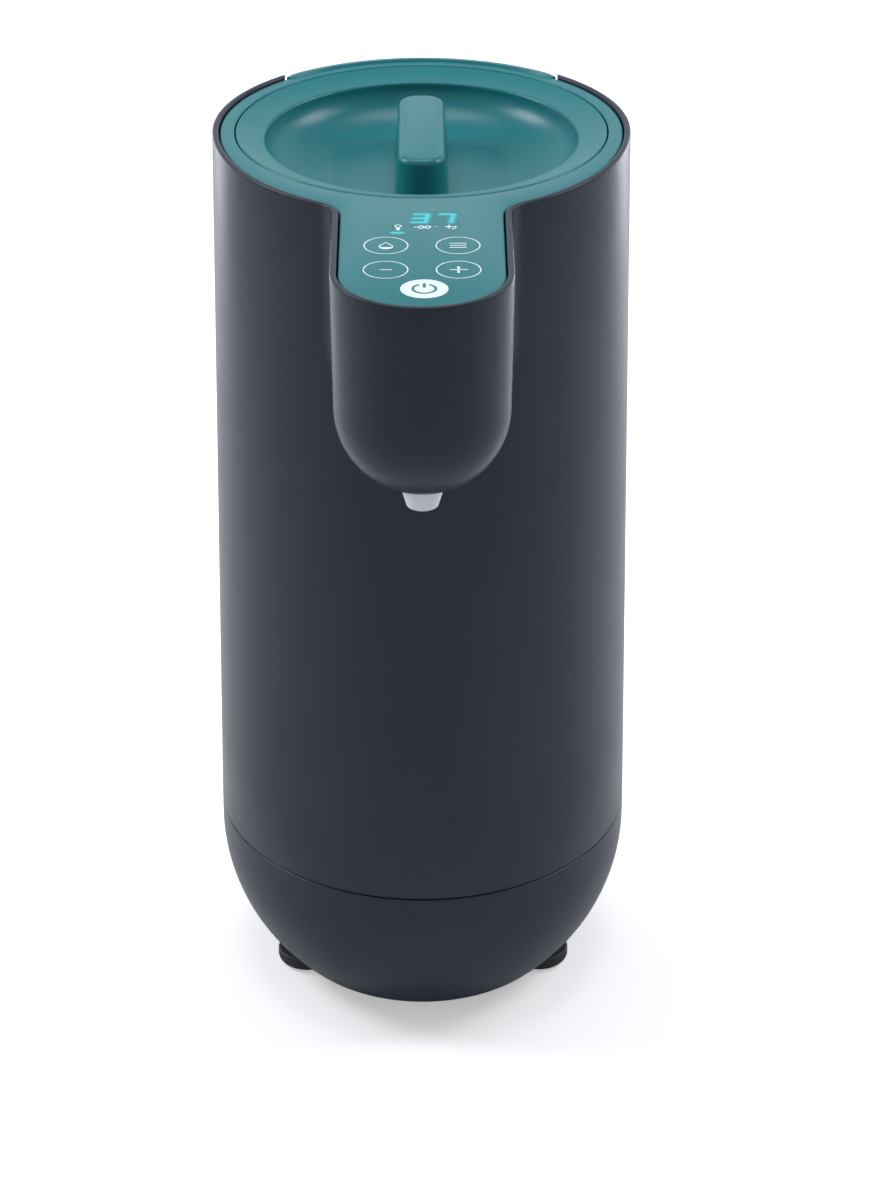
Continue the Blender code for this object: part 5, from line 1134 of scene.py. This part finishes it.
tank_bottom = TANK_LOW.z + OUTLET_LENGTH
corner_centre = (TANK_RADIUS - TANK_CORNER, tank_bottom + TANK_CORNER)
cup_profile = [(TANK_RADIUS - TANK_WALL, TANK_HIGH.z)]
flange_edge = (TANK_RADIUS + TANK_FLANGE - TANK_WALL / 2, TANK_HIGH.z - TANK_WALL / 2)
cup_profile += rounding(flange_edge, TANK_WALL / 2, 90, -90)
cup_profile += [(TANK_RADIUS, TANK_HIGH.z - TANK_WALL)]
cup_profile += rounding(corner_centre, TANK_CORNER, 0, -90, 10)
cup_profile += [(0.0, tank_bottom), (0.0, tank_bottom + TANK_WALL)]
cup_profile += rounding(corner_centre, TANK_CORNER - TANK_WALL, -90, 0, 10)
tank_cup = dressed("tank_cup", turned(cup_profile, "tank_cup"), DRAWN_STEEL, "housing", "steel", "tank")
spigot = [(OUTLET_RADIUS, TANK_LOW.z), (OUTLET_RADIUS, tank_bottom + TANK_WALL / 2)]
spigot += [(0.0, tank_bottom + TANK_WALL / 2), (0.0, TANK_LOW.z)]
cut(tank_cup, turned(spigot, "tank_outlet", (0.0, -OUTLET_REACH, 0.0), HOLE_STEPS), "UNION")
bore = [(OUTLET_BORE, TANK_LOW.z - TANK_WALL), (OUTLET_BORE, tank_bottom + TANK_CORNER)]
bore += [(0.0, tank_bottom + TANK_CORNER), (0.0, TANK_LOW.z - TANK_WALL)]
cut(tank_cup, turned(bore, "tank_outlet_bore", (0.0, -OUTLET_REACH, 0.0), HOLE_STEPS))

GASKET_LOW, GASKET_TOP = (corner.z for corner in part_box("tank_gasket"))
gasket = [(TANK_RADIUS - TANK_WALL, GASKET_LOW), (TANK_RADIUS - TANK_WALL, GASKET_TOP)]
gasket += [(TANK_RADIUS + TANK_FLANGE, GASKET_TOP), (TANK_RADIUS + TANK_FLANGE, GASKET_LOW)]
gasket_mesh = turned(gasket, "tank_gasket_ring")
dressed("tank_gasket_ring", gasket_mesh, SILICONE, "housing", "silicone", "tank_gasket")


def carried(material, *names):
    """Gives CAD solids that stay as they are the finish of what they are made of."""
    for name in names:
        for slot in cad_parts[name].material_slots:
            slot.material = material


# Needled felt is a mat of pale and dark fibres with no weave, and it doesn't shine. The fibres are far
# too fine to show, so they are drawn as bands about a centimetre apart that wander a lot.
FIBRE_BANDS = 90.0
FIBRE_WANDER = 22.0
FELT = moulded("needled_grey_felt", "#c2c0b9", "#8f8d87", 0.95, 0.5 * MM, 0.25 * MM, gloss=0.1)
felt_tree = FELT.node_tree
felt_where = add_node(felt_tree, "ShaderNodeTexCoord").outputs["Object"]
fibres = add_node(
    felt_tree,
    "ShaderNodeTexWave",
    {"Vector": felt_where},
    {"Scale": FIBRE_BANDS, "Distortion": FIBRE_WANDER, "Detail": 4.0},
)
felt_tree.links.new(fibres.outputs["Fac"], felt_tree.nodes["Color Ramp"].inputs["Fac"])
carried(FELT, "insulation_wrap")


# Heater: a cast aluminium plate presses on the tank's floor. A steel-sheathed element is clipped below
# it, with two thermal cut-outs of black phenolic and a temperature sensor in a steel cap.

# Cast metal has no lines but a fine even grain, and it is pale and dull.
CAST_ALUMINIUM = worked_metal("die_cast_aluminium", ("#c4c6c8", "#b4b7ba"), 0.45, 0.9 * MM, (1.0, 1.0, 1.0))
# Mineral-filled steel tube is annealed, which leaves it darker and straw-tinted.
SHEATH_STEEL = worked_metal("annealed_sheath_steel", ("#a39c90", "#8e8880"), 0.38, 0.6 * MM, (1.0, 1.0, 0.2))
# Pressed phenolic is near black, hard and half glossy.
PHENOLIC = moulded("pressed_black_phenolic", "#232124", "#1b191c", 0.38, 0.7 * MM, 0.01 * MM, ior=1.6)
carried(CAST_ALUMINIUM, "heating_plate")
carried(SHEATH_STEEL, "heating_element")
carried(PHENOLIC, "thermal_cutout_left", "thermal_cutout_right")
carried(DRAWN_STEEL, "temperature_sensor")


# Chassis: a ring of glass-filled nylon that carries tank and heater on four legs. The glass leaves its
# black face dull and a little rough.

GLASS_NYLON = moulded("glass_filled_black_nylon", "#26272a", "#191a1c", 0.55, 0.35 * MM, 0.02 * MM)
carried(GLASS_NYLON, "tank_chassis")


# Pump: a small magnet-driven pump stands on the base. Motor case and volute cover are nylon, the wet
# body and the impeller are polypropylene, and the stator is a stack of steel sheets on a ground shaft.

# The sheets' edges show as dark level lines. The shaft is ground, so it is the brightest metal here.
SHEET_STACK = worked_metal(
    "stack_of_silicon_steel_sheets", ("#8d8f94", "#5f6166"), 0.5, 0.5 * MM, (0.02, 0.02, 1.0)
)
GROUND_STEEL = worked_metal("ground_steel", ("#d6d8da", "#c9cbcd"), 0.2, 0.4 * MM, (1.0, 1.0, 0.1))
carried(GLASS_NYLON, "pump_case", "pump_cover")
carried(GREY_PP, "pump_body")
carried(WHITE_PP, "impeller")
carried(SHEET_STACK, "pump_stator")
carried(GROUND_STEEL, "pump_shaft")


# Hoses: milky silicone tube from tank to pump and from pump to nozzle, pushed on spigots. Each end is
# held by a bent clip of spring steel.

carried(SILICONE, "suction_hose", "delivery_hose")
carried(GROUND_STEEL, *(f"hose_clip_{number}" for number in range(1, 5)))


# Nozzle holder: a grey polypropylene socket in the spout's dome, in which the nozzle sits.

carried(GREY_PP, "nozzle_holder")


# Control board: a green board under the spout's deck with the digit module, and five touch pads of
# black foamed rubber that press on the deck from below. Three screws hold it to the deck's bosses.

# Solder mask is a glossy green lacquer over copper, and the tracks show as slightly lighter bands.
# Real tracks are about 0.3 mm apart, and they are drawn coarser to show.
TRACK_PITCH = 2.2 * MM
SOLDER_MASK = moulded("green_solder_mask", "#1f6b43", "#175636", 0.28, 0.8 * MM, 0.01 * MM, ior=1.55)
mask_tree = SOLDER_MASK.node_tree
mask_where = add_node(mask_tree, "ShaderNodeTexCoord").outputs["Object"]
tracks = add_node(
    mask_tree,
    "ShaderNodeTexVoronoi",
    {"Vector": mask_where},
    {"Scale": 1 / TRACK_PITCH},
    distance="CHEBYCHEV",
    feature="DISTANCE_TO_EDGE",
)
mask_tree.links.new(tracks.outputs[0], mask_tree.nodes["Color Ramp"].inputs["Fac"])
# Smoked resin hides the digits while they are dark, and it shines.
DISPLAY_FACE = moulded("smoked_display_resin", "#2b2d33", "#25272c", 0.22, 0.8 * MM, 0.003 * MM, ior=1.55)
carried(SOLDER_MASK, "control_board")
carried(DISPLAY_FACE, "digit_display")
pads = [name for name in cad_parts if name.startswith("touch_pad_")]
carried(RUBBER, *pads)


# Power board: the mains board on four posts of the base, with its transformer, relay and capacitor.
# A rubber-sheathed flat cable runs up from it to the control board.

# Dipped windings are brown and lumpy with varnish, and a can's sleeve is shrunk tight and glossy.
VARNISH = moulded("dip_varnished_windings", "#3a2a1c", "#2a1e15", 0.35, 0.9 * MM, 0.03 * MM)
CAN_SLEEVE = moulded("shrunk_pvc_can_sleeve", "#20242c", "#1a1e25", 0.25, 0.8 * MM, 0.003 * MM)
carried(SOLDER_MASK, "power_board")
carried(VARNISH, "transformer")
carried(PHENOLIC, "heater_relay")
carried(CAN_SLEEVE, "capacitor")
carried(RUBBER, "wiring_harness")


# Screws: small pan-head screws of zinc-plated steel, the same kind on boards and base, held by the
# thread they cut in the plastic. Zinc is bright with a faint blue.

ZINC_STEEL = worked_metal("zinc_plated_steel", ("#c9ccd2", "#b9bdc6"), 0.3, 0.4 * MM, (1.0, 1.0, 1.0))
screws = [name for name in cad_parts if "_screw_" in name]
carried(ZINC_STEEL, *screws)


# Cord gland: a black nylon bush in the base's back, through which the mains cord goes in. Its nut
# clamps it from inside.

GLAND_BORE = 3.4 * MM
GLAND_RADIUS = 6.2 * MM
GLAND_EDGE = 0.9 * MM
GLAND_INNER, GLAND_FACE = (corner.y - AXIS_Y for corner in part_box("cord_gland"))
bush = [(GLAND_BORE, GLAND_INNER), (GLAND_RADIUS, GLAND_INNER)]
bush += [(GLAND_RADIUS, GLAND_SEAT), (GLAND_FLANGE_RADIUS, GLAND_SEAT)]
bush += rounding((GLAND_FLANGE_RADIUS - GLAND_EDGE, GLAND_FACE - GLAND_EDGE), GLAND_EDGE, 0, 90)
bush += rounding((GLAND_BORE + GLAND_EDGE, GLAND_FACE - GLAND_EDGE), GLAND_EDGE, 90, 180)
gland_mesh = turned(bush, "cord_gland_bush", (0.0, 0.0, GLAND_HEIGHT), SMALL_STEPS, tilt=-math.pi / 2)
dressed("cord_gland_bush", gland_mesh, GLASS_NYLON, "housing", "black_plastic", "cord_gland")
carried(GLASS_NYLON, "gland_nut")


# The boxes of the model before and after it is dressed.

size = {"cad": [list(CAD_LOW), list(CAD_HIGH)], "visual": [list(corner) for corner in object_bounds()]}
